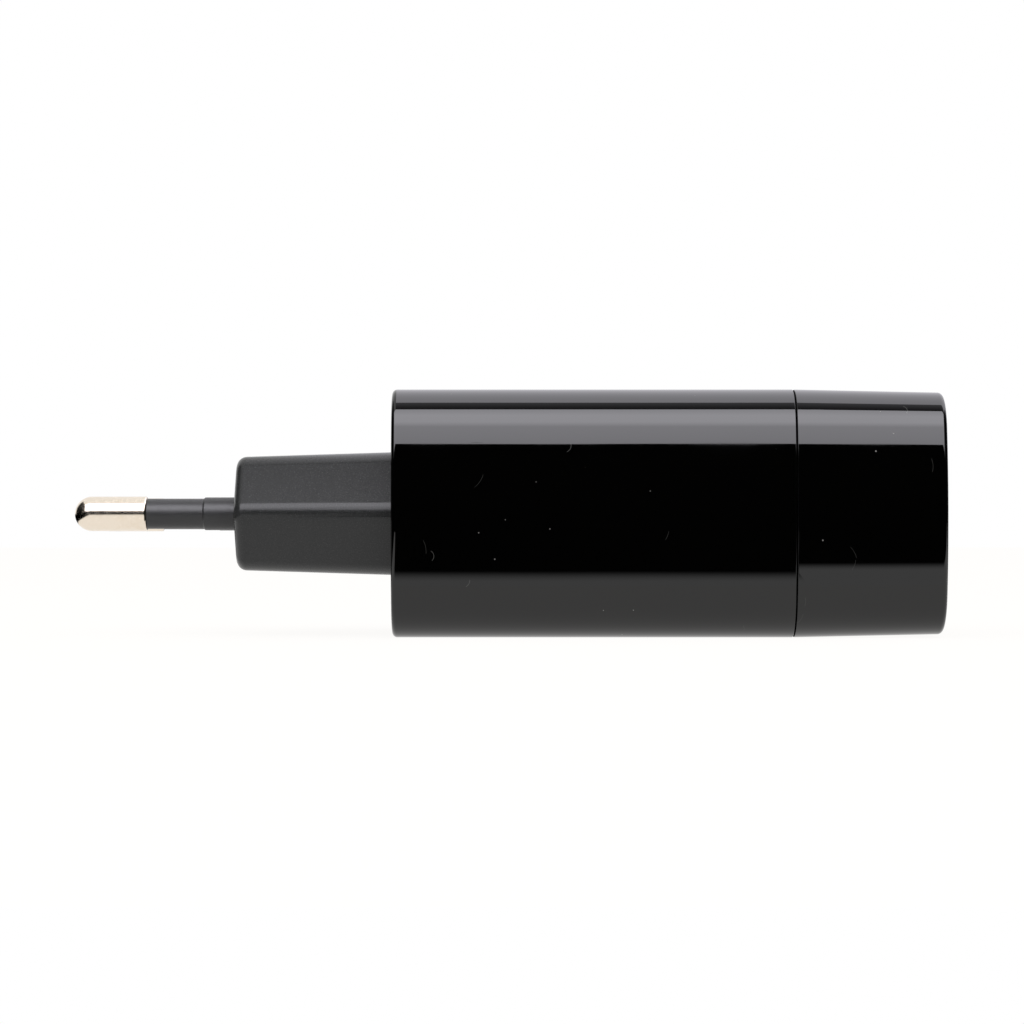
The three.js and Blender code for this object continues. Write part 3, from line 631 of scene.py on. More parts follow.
    def bump(self, height: NodeSocket, depth_mm: float, strength: float = 1.0,
             over: NodeSocket | None = None) -> NodeSocket:
        """A relief on the surface.

        Args:
            height: The pattern that gives its height.
            depth_mm: How high a value of 1 stands.
            strength: How much of the relief shows.
            over: Another relief that this one lies over.

        Returns:
            The surface normal.
        """
        node = self.tree.nodes.new("ShaderNodeBump")
        node.inputs["Distance"].default_value = depth_mm * MM
        node.inputs["Strength"].default_value = strength
        self.tree.links.new(height, node.inputs["Height"])
        if over is not None:
            self.tree.links.new(over, node.inputs["Normal"])
        return node.outputs["Normal"]


@dataclass(frozen=True)
class PolishedBlack:
    """Piano-black moulding: mirror smooth, with faint moulding ripple, hairlines and stray dust."""

    colour: Colour = (0.0005, 0.0005, 0.0005)
    dust: Colour = (0.42, 0.42, 0.4)
    ripple_mm: float = 0.0012
    seed: float = 0.0

    def material(self) -> Material:
        """Builds the finish."""
        bench = NodeBench("polished_black")
        here = (self.seed, self.seed, self.seed)
        specks = bench.cells(2.0, vector=bench.mapped(shift=here))
        size = bench.between(bench.noise(3.1, 1.0), 0.35, 0.7, 0.0, 0.05)
        speck = bench.maths("LESS_THAN", specks, size)
        lint = bench.fibres(1.9, 0.6, 0.8, 0.03, 0.03, self.seed)
        hair = bench.fibres(3.0, 0.9, 2.6, 0.02, 0.05, self.seed + 0.5)
        fluff = bench.maths("MAXIMUM", bench.between(lint, 0, 1, 0, 0.1),
                            bench.between(hair, 0, 1, 0, 0.05))
        dirt = bench.maths("MAXIMUM", bench.between(speck, 0, 1, 0, 0.3), fluff)
        bench.feed("Base Color", bench.blend(dirt, self.colour, self.dust))
        smudge = bench.between(bench.noise(9.0, 4.0, 0.6), 0.45, 0.75, 0.018, 0.05)
        bench.feed("Roughness", bench.maths("MAXIMUM", smudge, dirt))
        ripple = bench.bump(bench.noise(16.0, 1.0, 0.3), self.ripple_mm * 16, 1.0)
        hairs = bench.mapped(stretch=(0.05, 1, 1), turn=(0.1, 0.5, 0.2))
        scratch = bench.between(bench.noise(0.35, 2.0, 0.5, hairs), 0.72, 0.8)
        bench.feed("Normal", bench.bump(scratch, 0.00025, 1.0, ripple))
        bench.set(IOR=1.5)
        return bench.material


@dataclass(frozen=True)
class TexturedCharcoal:
    """Spark-textured charcoal moulding: fine even grain, a dull sheen, faint scuffs and dust."""

    colour: Colour = (0.014, 0.0145, 0.015)
    pale: Colour = (0.026, 0.0265, 0.027)
    grain_mm: float = 0.13
    relief_mm: float = 0.010
    roughness: float = 0.2
    gloss: float = 0.27

    def material(self) -> Material:
        """Builds the finish."""
        bench = NodeBench("textured_charcoal")
        grain = bench.noise(self.grain_mm, 3.0, 0.65)
        tone = bench.between(grain, 0.35, 0.7)
        scuff = bench.between(bench.noise(2.4, 4.0, 0.7), 0.5, 0.78, 0.0, 0.5)
        bench.feed("Base Color", bench.blend(bench.maths("MAXIMUM", tone, scuff), self.colour, self.pale))
        bench.feed("Roughness", bench.between(grain, 0.3, 0.7, self.roughness - 0.06,
                                              self.roughness + 0.1))
        bench.feed("Normal", bench.bump(grain, self.relief_mm, 0.8))
        bench.set(Specular_IOR_Level=self.gloss)
        return bench.material


@dataclass(frozen=True)
class NickelPlate:
    """Bright nickel over brass: a warm cast, fine turning lines and a few handling marks."""

    colour: Colour = (0.82, 0.73, 0.62)
    worn: Colour = (0.74, 0.62, 0.47)

    def material(self) -> Material:
        """Builds the finish."""
        bench = NodeBench("nickel_plate")
        wear = bench.between(bench.noise(1.6, 4.0, 0.65), 0.52, 0.8, 0.0, 0.6)
        bench.feed("Base Color", bench.blend(wear, self.colour, self.worn))
        lines = bench.noise(0.5, 2.0, 0.5, bench.mapped(stretch=(8, 0.5, 0.5)))
        bench.feed("Roughness", bench.between(lines, 0.3, 0.8, 0.12, 0.26))
        bench.feed("Normal", bench.bump(lines, 0.0009, 0.7))
        bench.set(Metallic=1.0)
        return bench.material


@dataclass(frozen=True)
class PressedSteel:
    """Nickel-plated sheet steel with rolling lines and stamped wear."""

    colour: Colour = (0.66, 0.67, 0.69)

    def material(self) -> Material:
        """Builds the finish."""
        bench = NodeBench("pressed_steel")
        lines = bench.noise(0.4, 3.0, 0.6, bench.mapped(stretch=(0.15, 3, 3)))
        dull = tuple(0.72 * part for part in self.colour)
        bench.feed("Base Color", bench.blend(bench.between(lines, 0.4, 0.75), self.colour, dull))
        bench.feed("Roughness", bench.between(lines, 0.3, 0.75, 0.2, 0.36))
        bench.feed("Normal", bench.bump(lines, 0.002, 0.6))
        bench.set(Metallic=1.0)
        return bench.material


@dataclass(frozen=True)
class GoldFlashedBrass:
    """Spring brass with a gold flash and slight tarnish."""

    colour: Colour = (0.88, 0.62, 0.25)
    tarnish: Colour = (0.5, 0.33, 0.14)

    def material(self) -> Material:
        """Builds the finish."""
        bench = NodeBench("gold_flashed_brass")
        patches = bench.between(bench.noise(0.9, 4.0, 0.6), 0.5, 0.78, 0.0, 0.8)
        bench.feed("Base Color", bench.blend(patches, self.colour, self.tarnish))
        bench.feed("Roughness", bench.between(patches, 0, 1, 0.16, 0.4))
        rolled = bench.noise(0.12, 2.0, 0.5, bench.mapped(stretch=(0.2, 1, 1)))
        bench.feed("Normal", bench.bump(rolled, 0.002, 0.5))
        bench.set(Metallic=1.0)
        return bench.material


@dataclass(frozen=True)
class PlainMoulding:
    """An ordinary moulded plastic or epoxy with a light grain and flow marks."""

    name: str
    colour: Colour
    roughness: float = 0.45
    grain_mm: float = 0.2
    relief_mm: float = 0.006
    gloss: float = 0.5

    def material(self) -> Material:
        """Builds the finish."""
        bench = NodeBench(self.name)
        grain = bench.noise(self.grain_mm, 3.0, 0.6)
        flow = bench.noise(3.0, 3.0, 0.5, bench.mapped(stretch=(0.4, 1, 1)))
        shade = tuple(0.72 * part for part in self.colour)
        bench.feed("Base Color", bench.blend(bench.between(flow, 0.35, 0.75), self.colour, shade))
        bench.feed("Roughness", bench.between(grain, 0.3, 0.7, self.roughness - 0.07,
                                              self.roughness + 0.08))
        bench.feed("Normal", bench.bump(grain, self.relief_mm, 0.6))
        bench.set(Specular_IOR_Level=self.gloss)
        return bench.material


@dataclass(frozen=True)
class BoardLaminate:
    """Green solder mask over copper tracks that run square to each other."""

    mask: Colour = (0.012, 0.09, 0.03)
    track: Colour = (0.03, 0.2, 0.06)
    pitch_mm: float = 1.9

    def material(self) -> Material:
        """Builds the finish."""
        bench = NodeBench("board_laminate")
        patch = bench.cells(self.pitch_mm * 3, "Color", vector=bench.mapped(stretch=(1, 1, 0.01)))
        along = bench.bands(self.pitch_mm, "X")
        across = bench.bands(self.pitch_mm, "Y")
        chosen = bench.maths("GREATER_THAN", patch, 0.5)
        lines = bench.maths("ADD", bench.maths("MULTIPLY", along, chosen),
                            bench.maths("MULTIPLY", across,
                                        bench.between(chosen, 0, 1, 1, 0)))
        copper = bench.between(lines, 0.45, 0.55)
        bench.feed("Base Color", bench.blend(copper, self.mask, self.track))
        weave = bench.maths("MULTIPLY", bench.bands(0.5, "X"), bench.bands(0.5, "Y"))
        bench.feed("Roughness", bench.between(weave, 0, 1, 0.28, 0.4))
        bench.feed("Normal", bench.bump(copper, 0.03, 0.5, bench.bump(weave, 0.005, 0.4)))
        return bench.material


@dataclass(frozen=True)
class WoundWire:
    """Enamelled wire in close turns along one axis."""

    colour: Colour = (0.55, 0.17, 0.05)
    wire_mm: float = 0.28
    axis: str = "Y"

    def material(self) -> Material:
        """Builds the finish."""
        bench = NodeBench("wound_wire")
        turns = bench.bands(self.wire_mm, self.axis, 0.2)
        # Painted shade: the colour darkens in the grooves between turns, where shade would fall.
        painted_gap_shade = tuple(0.35 * part for part in self.colour)
        bench.feed("Base Color", bench.blend(turns, painted_gap_shade, self.colour))
        bench.feed("Roughness", bench.between(bench.noise(0.8), 0.3, 0.7, 0.2, 0.38))
        bench.feed("Normal", bench.bump(turns, 0.09, 0.9))
        bench.set(Metallic=0.75)
        return bench.material


@dataclass(frozen=True)
class SinteredFerrite:
    """Dark fired ceramic with pores and ground faces."""

    colour: Colour = (0.022, 0.022, 0.024)

    def material(self) -> Material:
        """Builds the finish."""
        bench = NodeBench("sintered_ferrite")
        pores = bench.between(bench.cells(0.35), 0.05, 0.3)
        grind = bench.noise(0.25, 2.0, 0.5, bench.mapped(stretch=(1, 0.1, 1)))
        pale = tuple(2.2 * part for part in self.colour)
        bench.feed("Base Color", bench.blend(bench.between(grind, 0.4, 0.8), self.colour, pale))
        bench.feed("Roughness", bench.between(pores, 0, 1, 0.75, 0.5))
        bench.feed("Normal", bench.bump(pores, 0.02, 0.5))
        return bench.material


@dataclass(frozen=True)
class LappedTape:
    """Yellow polyester tape in overlapping laps with a slight wrinkle."""

    colour: Colour = (0.75, 0.5, 0.04)

    def material(self) -> Material:
        """Builds the finish."""
        bench = NodeBench("lapped_tape")
        laps = bench.between(bench.bands(3.2, "Z", 0.6), 0.45, 0.55)
        shade = tuple(0.78 * part for part in self.colour)
        bench.feed("Base Color", bench.blend(laps, self.colour, shade))
        bench.feed("Roughness", bench.between(bench.noise(0.7), 0.3, 0.7, 0.22, 0.4))
        bench.feed("Normal", bench.bump(bench.noise(1.1, 3.0), 0.05, 0.5,
                                        bench.bump(laps, 0.03, 0.6)))
        bench.set(Coat_Weight=0.3)
        return bench.material


class Finish(Enum):
    """The finishes of the charger's pieces, each with the frame's material slot that it belongs to."""

    HOUSING = ("glossy_shell", PolishedBlack())
    # Painted shade: faces inside the seam get a matte, barely glossy black so the joint reads dark as if
    # shaded.
    SEAM_SHADE = ("glossy_shell", PlainMoulding("painted_seam_shade", (0.004, 0.004, 0.004), 0.6, 0.3, 0.004, 0.1))
    NOSE = ("matte_plug", TexturedCharcoal())
    SLEEVE = ("matte_plug", PlainMoulding("sleeve_nylon", (0.014, 0.014, 0.015), 0.4, 0.22, 0.012))
    PIN = ("pin_plating", NickelPlate())
    PORT_STEEL = ("port_steel", PressedSteel())
    BRASS = ("contact_brass", GoldFlashedBrass())
    WHITE = ("white_insulator", PlainMoulding("white_insulator", (0.78, 0.77, 0.73), 0.42, 0.25, 0.004))
    BOARD = ("board_laminate", BoardLaminate())
    FILM = ("insulating_film", PlainMoulding("insulating_film", (0.62, 0.6, 0.5), 0.25, 1.5, 0.01))
    EPOXY_BLACK = ("component_black", PlainMoulding("epoxy_black", (0.018, 0.018, 0.019), 0.5, 0.12))
    EPOXY_BLUE = ("component_blue", PlainMoulding("epoxy_blue", (0.02, 0.1, 0.4), 0.22, 1.2, 0.02))
    EPOXY_GREEN = ("component_green", PlainMoulding("epoxy_green", (0.05, 0.19, 0.11), 0.3, 0.9, 0.01))
    CREAM = ("component_cream", PlainMoulding("cream_package", (0.74, 0.71, 0.6), 0.5, 0.15))
    CAN_SLEEVE = ("can_sleeve", PlainMoulding("can_sleeve", (0.014, 0.024, 0.11), 0.24, 0.8, 0.004))
    CAN_BARE = ("can_bare", PressedSteel((0.78, 0.79, 0.8)))
    FERRITE = ("ferrite", SinteredFerrite())
    WINDING = ("winding_copper", WoundWire())
    COIL = ("winding_copper", WoundWire(wire_mm=0.4, axis="Z"))
    TAPE = ("winding_tape", LappedTape())

    @property
    def slot(self) -> str:
        """The frame's material slot."""
        return self.value[0]


@dataclass
class Paintbox:
    """Makes each finish's material once and puts it on pieces."""

    made: dict[Finish, Material] = field(default_factory=dict)

    def material(self, finish: Finish) -> Material:
        """The one material of a finish."""
        if finish not in self.made:
            self.made[finish] = finish.value[1].material()
        return self.made[finish]

    def repaint(self, finish: Finish, *nodes: str) -> None:
        """Gives frame nodes that keep their shape a finish."""
        for node in nodes:
            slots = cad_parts[node].data.materials
            slots.clear()
            slots.append(self.material(finish))

    def stand_in(self, node: str, bm: BMesh, *finishes: Finish, body: str = "charger",
                 sharp: float = 35.0, even: bool = False) -> Object:
        """Finishes a mesh that stands for a frame node.

        Args:
            node: The frame node that it replaces.
            bm: The mesh, in millimetres, which is used up.
            finishes: Its finishes, the main one first.
            body: The body that it rides on.
            sharp: Edges that turn more than this many degrees stay sharp.
            even: Whether large flat faces should keep the shading to themselves.

        Returns:
            The piece.
        """
        materials = [self.material(finish) for finish in finishes]
        piece = finished(f"{node}_shape", bm, materials, sharp, even)
        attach(piece, body)
        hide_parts(node)
        return piece


# ---- body shells ---------------------------------------------------------------------------------


@dataclass(frozen=True)
class BodySection:
    """The body's section: flat wide faces, crowned narrow sides and round corners, all tangent."""

    half_width: float
    half_height: float
    corner_radius: float = 5.5
    side_radius: float = 48.0

    @classmethod
    def of(cls, node: str) -> "BodySection":
        """The section that fills a node's box."""
        half = NodeBox.of(node).size / 2
        return cls(half.y, half.z)

    def within(self, inset: float) -> "BodySection":
        """The same section set in evenly."""
        return BodySection(self.half_width - inset, self.half_height - inset,
                           self.corner_radius - inset, self.side_radius - inset)

    def outline(self, bm: BMesh, x: float, turn: float = math.radians(1.5)) -> BMFace:
        """Draws the section in the plane at one X.

        Args:
            bm: The mesh that takes it.
            x: The plane's place.
            turn: How far each edge of an arc turns.

        Returns:
            The section's face, looking along -X.
        """
        corner_z = self.half_height - self.corner_radius
        crown_y = self.half_width - self.side_radius
        reach = self.side_radius - self.corner_radius
        tilt = math.asin(corner_z / reach)
        corner = Vector((x, crown_y + reach * math.cos(tilt), corner_z))
        rest = math.pi / 2 - tilt
        quarter = bmesh.new()
        vert = bmesh.ops.create_vert(quarter, co=(x, self.half_width, 0))["vert"][0]
        vert = spin_from(quarter, vert, Vector((x, crown_y, 0)), tilt, round(tilt / turn))
        vert = spin_from(quarter, vert, corner, rest, round(rest / turn))
        line_to(quarter, vert, (x, 0, self.half_height))
        unfold(quarter)
        filled(quarter, -ALONG_X)
        known = set(bm.faces)
        pour(quarter, bm)
        return next(f for f in bm.faces if f not in known)

    def prism(self, span: Span) -> BMesh:
        """The section as a bar along X."""
        bm = bmesh.new()
        solid_from(bm, self.outline(bm, span.start), ALONG_X * span.length)
        return bm


@dataclass(frozen=True)
class NoseSection:
    """The plug nose's section: a flat hexagon with a ridge along each side."""

    half_width: float = 17.65
    half_flat: float = 13.05
    half_height: float = 6.5
    ridge_radius: float = 2.0
    edge_radius: float = 3.0
    draft: float = math.radians(1.75)

    @property
    def flank(self) -> float:
        """Half the angle between the two faces that meet at a ridge."""
        return math.atan2(self.half_height, self.half_width - self.half_flat)

    @property
    def ridge(self) -> float:
        """How far out the ridge would reach if it were sharp."""
        return self.half_width + self.ridge_radius * (1 / math.sin(self.flank) - 1)

    def growth(self, x: float) -> float:
        """How far the draft has moved each side out at a distance from the engagement face."""
        return x * math.tan(self.draft)

    def prism(self, span: Span, clearance: float = 0.0, sides: int = 6) -> BMesh:
        """The section drawn through a stretch of X, growing with the draft.

        Args:
            span: The stretch.
            clearance: How far outside the nose the prism lies.
            sides: How many strips each ridge has.

        Returns:
            The prism, its ridges and long edges rounded.
        """
        bm = bmesh.new()
        start = bmesh.ops.create_vert(bm, co=(span.start, self.ridge, 0))["vert"][0]
        corner = line_to(bm, start, (span.start, self.half_flat, self.half_height))
        line_to(bm, corner, (span.start, 0, self.half_height))
        unfold(bm)
        face = filled(bm, -ALONG_X)
        far = solid_from(bm, face, ALONG_X * span.length)
        for verts, x in ((far.verts, span.end), (face.verts, span.start)):
            grown = self.growth(x) + clearance
            bmesh.ops.scale(bm, verts=list(verts),
                            vec=(1, 1 + grown / self.ridge, 1 + grown / self.half_height))
        long_edges = [e for e in bm.edges if abs(e.verts[0].co.x - e.verts[1].co.x) > 1e-3]
        ridges = [e for e in long_edges if abs(e.verts[0].co.z) < 1e-3]
        corners = [e for e in long_edges if abs(e.verts[0].co.y) > 1 and e not in ridges]
        round_edges(bm, ridges, self.ridge_radius, sides)
        corners = [e for e in bm.edges if e in corners]
        round_edges(bm, corners, self.edge_radius, 10)
        return bm


@dataclass(frozen=True)
class Housing:
    """The long glossy shell: one moulding with its own front wall and two pairs of board rails."""

    wall: float = 2.0
    plug_end_round: float = 0.55
    seam_round: float = 0.09
    nose_gap: float = 0.15
    rail: float = 1.5
    rail_gap: float = 0.1
    nose: NoseSection = NoseSection()

    def build(self, paint: Paintbox) -> Object:
        """Builds and dresses the shell."""
        span = NodeBox.of("main_housing").length
        section = BodySection.of("main_housing")
        bm = section.prism(span)
        round_edges(bm, edges_at(bm, span.start), self.plug_end_round, 8)
        round_edges(bm, edges_at(bm, span.end), self.seam_round, 3)
        mouth = end_face(bm, ALONG_X)
        bmesh.ops.inset_region(bm, faces=[mouth], thickness=self.wall - self.seam_round,
                               use_even_offset=True)
        push(bm, [mouth], ALONG_X * (self.wall - span.length))
        aperture = self.nose.prism(Span(span.start - 1, span.start + self.wall + 1), self.nose_gap)
        shell = combined(bm, [aperture], Cut.AWAY)
        within = section.within(self.wall / 2)
        rails = [combined(rail, [within.prism(span)], Cut.SHARED) for rail in self.rails()]
        whole = combined(shell, rails, Cut.ONTO)
        # The end faces at the seam take the second finish: painted seam shade.
        number_faces(whole, lambda middle: middle.x > span.end - MARGIN)
        return paint.stand_in("main_housing", whole, Finish.HOUSING, Finish.SEAM_SHADE, even=True)

    def rails(self) -> list[BMesh]:
        """The bars that hold the board's long edges from below and above."""
        board = NodeBox.of("main_board")
        housing = NodeBox.of("main_housing")
        inside = board.high.y - self.rail
        outside = housing.high.y - self.wall / 2
        levels = ((housing.low.z + self.wall / 2, board.low.z - self.rail_gap),
                  (board.high.z + self.rail_gap, board.high.z + self.rail))
        bars = []
        for low, high in levels:
            bars.append(box_solid((board.low.x, inside, low), (board.high.x, outside, high)))
            bars.append(box_solid((board.low.x, -outside, low), (board.high.x, -inside, high)))
        return bars


@dataclass(frozen=True)
class Cap:
    """The glossy end cap: a drafted shell with a lip that slides into the housing and two slots."""

    wall: float = 2.0
    end_wall: float = 2.2
    end_round: float = 0.6
    seam_round: float = 0.09
    draft: float = math.radians(1.2)
    seam: float = 0.15
    lip_wall: float = 1.2
    lip_gap: float = 0.2
    lip_root: float = 2.0
    slot_gap: float = 0.15
    slot_lead: float = 0.35
    shell_radius: float = 0.8

    def build(self, paint: Paintbox) -> Object:
        """Builds and dresses the cap."""
        box = NodeBox.of("port_cap")
        section = BodySection.of("main_housing")
        face_x = NodeBox.of("main_housing").high.x + self.seam
        span = Span(face_x, box.high.x)
        shrink = span.length * math.tan(self.draft)
        bm = bmesh.new()
        near = section.outline(bm, span.start)
        far = section.within(shrink).outline(bm, span.end)
        bmesh.ops.bridge_loops(bm, edges=near.edges[:] + far.edges[:])
        bmesh.ops.recalc_face_normals(bm, faces=bm.faces)
        round_edges(bm, edges_at(bm, span.end), self.end_round, 10)
        round_edges(bm, edges_at(bm, span.start), self.seam_round, 3)
        root = end_face(bm, -ALONG_X)
        bmesh.ops.inset_region(bm, faces=[root], use_even_offset=True,
                               thickness=self.wall + self.lip_gap - self.seam_round)
        lip = self.largest(push(bm, [root], ALONG_X * (box.low.x - span.start)))
        bmesh.ops.inset_region(bm, faces=[lip], thickness=self.lip_wall, use_even_offset=True)
        push(bm, [lip], ALONG_X * (span.start + self.lip_root - box.low.x))
        hollow = section.within(self.wall + shrink)
        cavity = hollow.prism(Span(span.start + self.lip_root - 0.5, span.end - self.end_wall))
        body = combined(bm, [cavity, *self.slots(span.end)], Cut.AWAY)
        # The lip and root faces inside the seam take the second finish: painted seam shade.
        number_faces(body, lambda middle: middle.x < span.start + MARGIN)
        return paint.stand_in("port_cap", body, Finish.HOUSING, Finish.SEAM_SHADE, even=True)

    @staticmethod
    def largest(faces: Sequence[BMFace]) -> BMFace:
        """The largest of some faces."""
        return max(faces, key=lambda f: f.calc_area())

    def slots(self, end: float) -> list[BMesh]:
        """Cutters for the two port openings, each with a lead-in bevel at the outer face."""
        cutters = []
        for level in ("upper", "lower"):
            shell = NodeBox.of(f"usb_shell_{level}")
            half = shell.size / 2
            span = Span(end - self.end_wall - 1, end + 1)
            cutter = plate_prism(span, half.y + self.slot_gap, half.z + self.slot_gap,
                                 self.shell_radius + self.slot_gap)
            funnel = plate_prism(Span(end - self.slot_lead, end + self.slot_lead),
                                 half.y + self.slot_gap, half.z + self.slot_gap,
                                 self.shell_radius + self.slot_gap)
            outer = [v for v in funnel.verts if v.co.x > end]
            widen = 2 * self.slot_lead
            bmesh.ops.scale(funnel, verts=outer,
                            vec=(1, 1 + widen / half.y, 1 + widen / half.z))
            for tool in (cutter, funnel):
                moved(tool, (0, 0, shell.centre.z))
                cutters.append(tool)
        return cutters


# ---- mains plug ----------------------------------------------------------------------------------


@dataclass(frozen=True)
class PinAxis:
    """The line that a pin and its sleeve lie on, leaning in towards the tip."""

    side: int
    spacing: float = 18.6
    tip_spacing: float = 17.5
    length: float = 19.0

    def lay(self, bm: BMesh) -> BMesh:
        """Moves a turned mesh from the X axis onto this line."""
        lean = math.atan((self.spacing - self.tip_spacing) / 2 / self.length)
        bmesh.ops.rotate(bm, verts=bm.verts, cent=(0, 0, 0),
                         matrix=Matrix.Rotation(self.side * lean, 3, "Z"))
        moved(bm, (0, self.side * self.spacing / 2, 0))
        return bm


@dataclass(frozen=True)
class MainsPlug:
    """The matte nose, the two plated pins and their insulating sleeves."""

    pin_length: float = 19.0
    bare_length: float = 8.4
    pin_diameter: float = 4.0
    core_diameter: float = 2.4
    shoulder: Span = Span(8.0, 12.0)
    shoulder_diameter: float = 4.8
    tail_end: float = 25.8
    sleeve_diameter: float = 3.5
    sleeve_wall: float = 0.25
    sleeve_gap: float = 0.3
    sleeve_seat: float = 0.03
    collar: Span = Span(-3.9, 5.0)
    collar_diameter: float = 3.8
    bore_gap: float = 0.05
    bore_lead: float = 1.2
    bore_lead_depth: float = 0.2
    edge: float = 0.12
    front_round: float = 1.15
    flange: float = 1.0
    nose: NoseSection = NoseSection()

    def build(self, paint: Paintbox) -> None:
        """Builds and dresses the whole plug."""
        paint.stand_in("plug_nose", self.nose_mesh(), Finish.NOSE, even=True)
        for hand, side in (("left", 1), ("right", -1)):
            axis = PinAxis(side)
            paint.stand_in(f"pin_{hand}", axis.lay(lathed(self.draw_pin)), Finish.PIN)
            paint.stand_in(f"pin_sleeve_{hand}", axis.lay(lathed(self.draw_sleeve)), Finish.SLEEVE)

    def draw_pin(self, bm: BMesh) -> None:
        """Draws half the section of a pin, from its domed tip to its tail."""
        radius = self.pin_diameter / 2
        core = self.core_diameter / 2
        bare_end = self.bare_length - self.pin_length
        wide = self.shoulder_diameter / 2
        vert = bmesh.ops.create_vert(bm, co=(-self.pin_length, 0, 0))["vert"][0]
        vert = spin_from(bm, vert, Vector((radius - self.pin_length, 0, 0)), -math.pi / 2, 16,
                         Vector((0, 0, 1)))
        places = ((bare_end - self.edge, radius), (bare_end, radius - self.edge), (bare_end, core),
                  (self.shoulder.start, core), (self.shoulder.start, wide - self.edge),
                  (self.shoulder.start + self.edge, wide), (self.shoulder.end - self.edge, wide),
                  (self.shoulder.end, wide - self.edge), (self.shoulder.end, core),
                  (self.tail_end - self.edge, core), (self.tail_end, core - self.edge),
                  (self.tail_end, 0))
        for x, y in places:
            vert = line_to(bm, vert, (x, y, 0))

    def draw_sleeve(self, bm: BMesh) -> None:
        """Draws the section of a sleeve, a closed outline off the axis."""
        outer = self.sleeve_diameter / 2
        inner = outer - self.sleeve_wall
        wide = self.collar_diameter / 2
        start = self.bare_length - self.pin_length + self.sleeve_seat
        soft = self.edge / 2
        places = ((start + soft, outer), (self.collar.start - 2 * soft, outer),
                  (self.collar.start, wide - soft), (self.collar.start + soft, wide),
                  (self.collar.end - soft, wide), (self.collar.end, wide - soft),
                  (self.collar.end, inner), (start, inner), (start, outer - soft))
        first = vert = bmesh.ops.create_vert(bm, co=(start, outer - soft, 0))["vert"][0]
        for x, y in places:
            vert = line_to(bm, vert, (x, y, 0))
        bmesh.ops.pointmerge(bm, verts=[first, vert], merge_co=first.co)

    def nose_mesh(self) -> BMesh:
        """The nose with its flange behind the housing's front wall and a stepped bore for each pin."""
        box = NodeBox.of("plug_nose")
        wall = NodeBox.of("main_housing").low.x + Housing.wall
        body = self.nose.prism(Span(0, wall + self.edge))
        round_edges(body, edges_at(body, 0), self.front_round, 6)
        inner = BodySection.of("main_housing").within(Housing.wall + 0.2)
        band = self.nose.half_height + self.nose.growth(wall) + self.flange
        flange = combined(inner.prism(Span(wall, box.high.x)),
                          [box_solid((wall - 1, -50, -band), (box.high.x + 1, 50, band))], Cut.SHARED)
        bores = [PinAxis(side).lay(lathed(self.draw_bore)) for side in (1, -1)]
        core_y = PinAxis(1).spacing / 2 - self.shoulder_diameter / 2 - Housing.wall - 0.3
        core = box_solid((2 * Housing.wall, -core_y, Housing.wall - self.nose.half_height),
                         (box.high.x + 1, core_y, self.nose.half_height - Housing.wall), 1.0, 4)
        return combined(combined(body, [flange], Cut.ONTO), [*bores, core], Cut.AWAY)

    def draw_bore(self, bm: BMesh) -> None:
        """Draws half the section of the stepped hole that a pin and its sleeve sit in."""
        narrow = self.collar_diameter / 2 + self.bore_gap
        wide = self.shoulder_diameter / 2 + self.sleeve_gap
        step = self.shoulder.start - self.sleeve_gap
        end = NodeBox.of("plug_nose").high.x + 1
        vert = bmesh.ops.create_vert(bm, co=(-1, 0, 0))["vert"][0]
        for x, y in ((-1, narrow + self.bore_lead), (self.bore_lead_depth, narrow), (step, narrow),
                     (step, wide), (end, wide), (end, 0)):
            vert = line_to(bm, vert, (x, y, 0))


# ---- USB ports -----------------------------------------------------------------------------------


@dataclass(frozen=True)
class SpringTab:
    """A leaf punched out of a port shell's wall that bears on the plug's shell."""

    start: float
    length: float = 6.0
    width: float = 2.2
    slit: float = 0.35
    dip: float = 0.55
    steps: int = 12

    def window(self, y: float, low: float, high: float) -> BMesh:
        """The opening that the leaf is punched from."""
        return box_solid((self.start, y - self.width / 2 - self.slit, low),
                         (self.start + self.length, y + self.width / 2 + self.slit, high))

    def leaf(self, y: float, z: float, inward: int, thickness: float) -> BMesh:
        """The bent leaf itself, rooted at the end nearer the board.

        Args:
            y: Its middle across the port.
            z: The level of the wall that it is punched from.
            inward: Which way along Z it bends.
            thickness: The sheet's thickness.

        Returns:
            The leaf as a closed mesh.
        """
        bm = bmesh.new()
        root = self.start - 0.2
        vert = bmesh.ops.create_vert(bm, co=(root, y - self.width / 2, z))["vert"][0]
        reach = self.length - self.slit
        for i in range(1, self.steps + 1):
            along = i / self.steps
            sag = self.dip * math.sin(math.pi * min(1.0, along * 1.12)) ** 2
            vert = line_to(bm, vert, (root + reach * along, y - self.width / 2, z + inward * sag))
        swept(bm, bm.edges[:], (0, self.width, 0))
        bmesh.ops.solidify(bm, geom=bm.faces[:], thickness=thickness * 0.8)
        bmesh.ops.recalc_face_normals(bm, faces=bm.faces)
        return bm


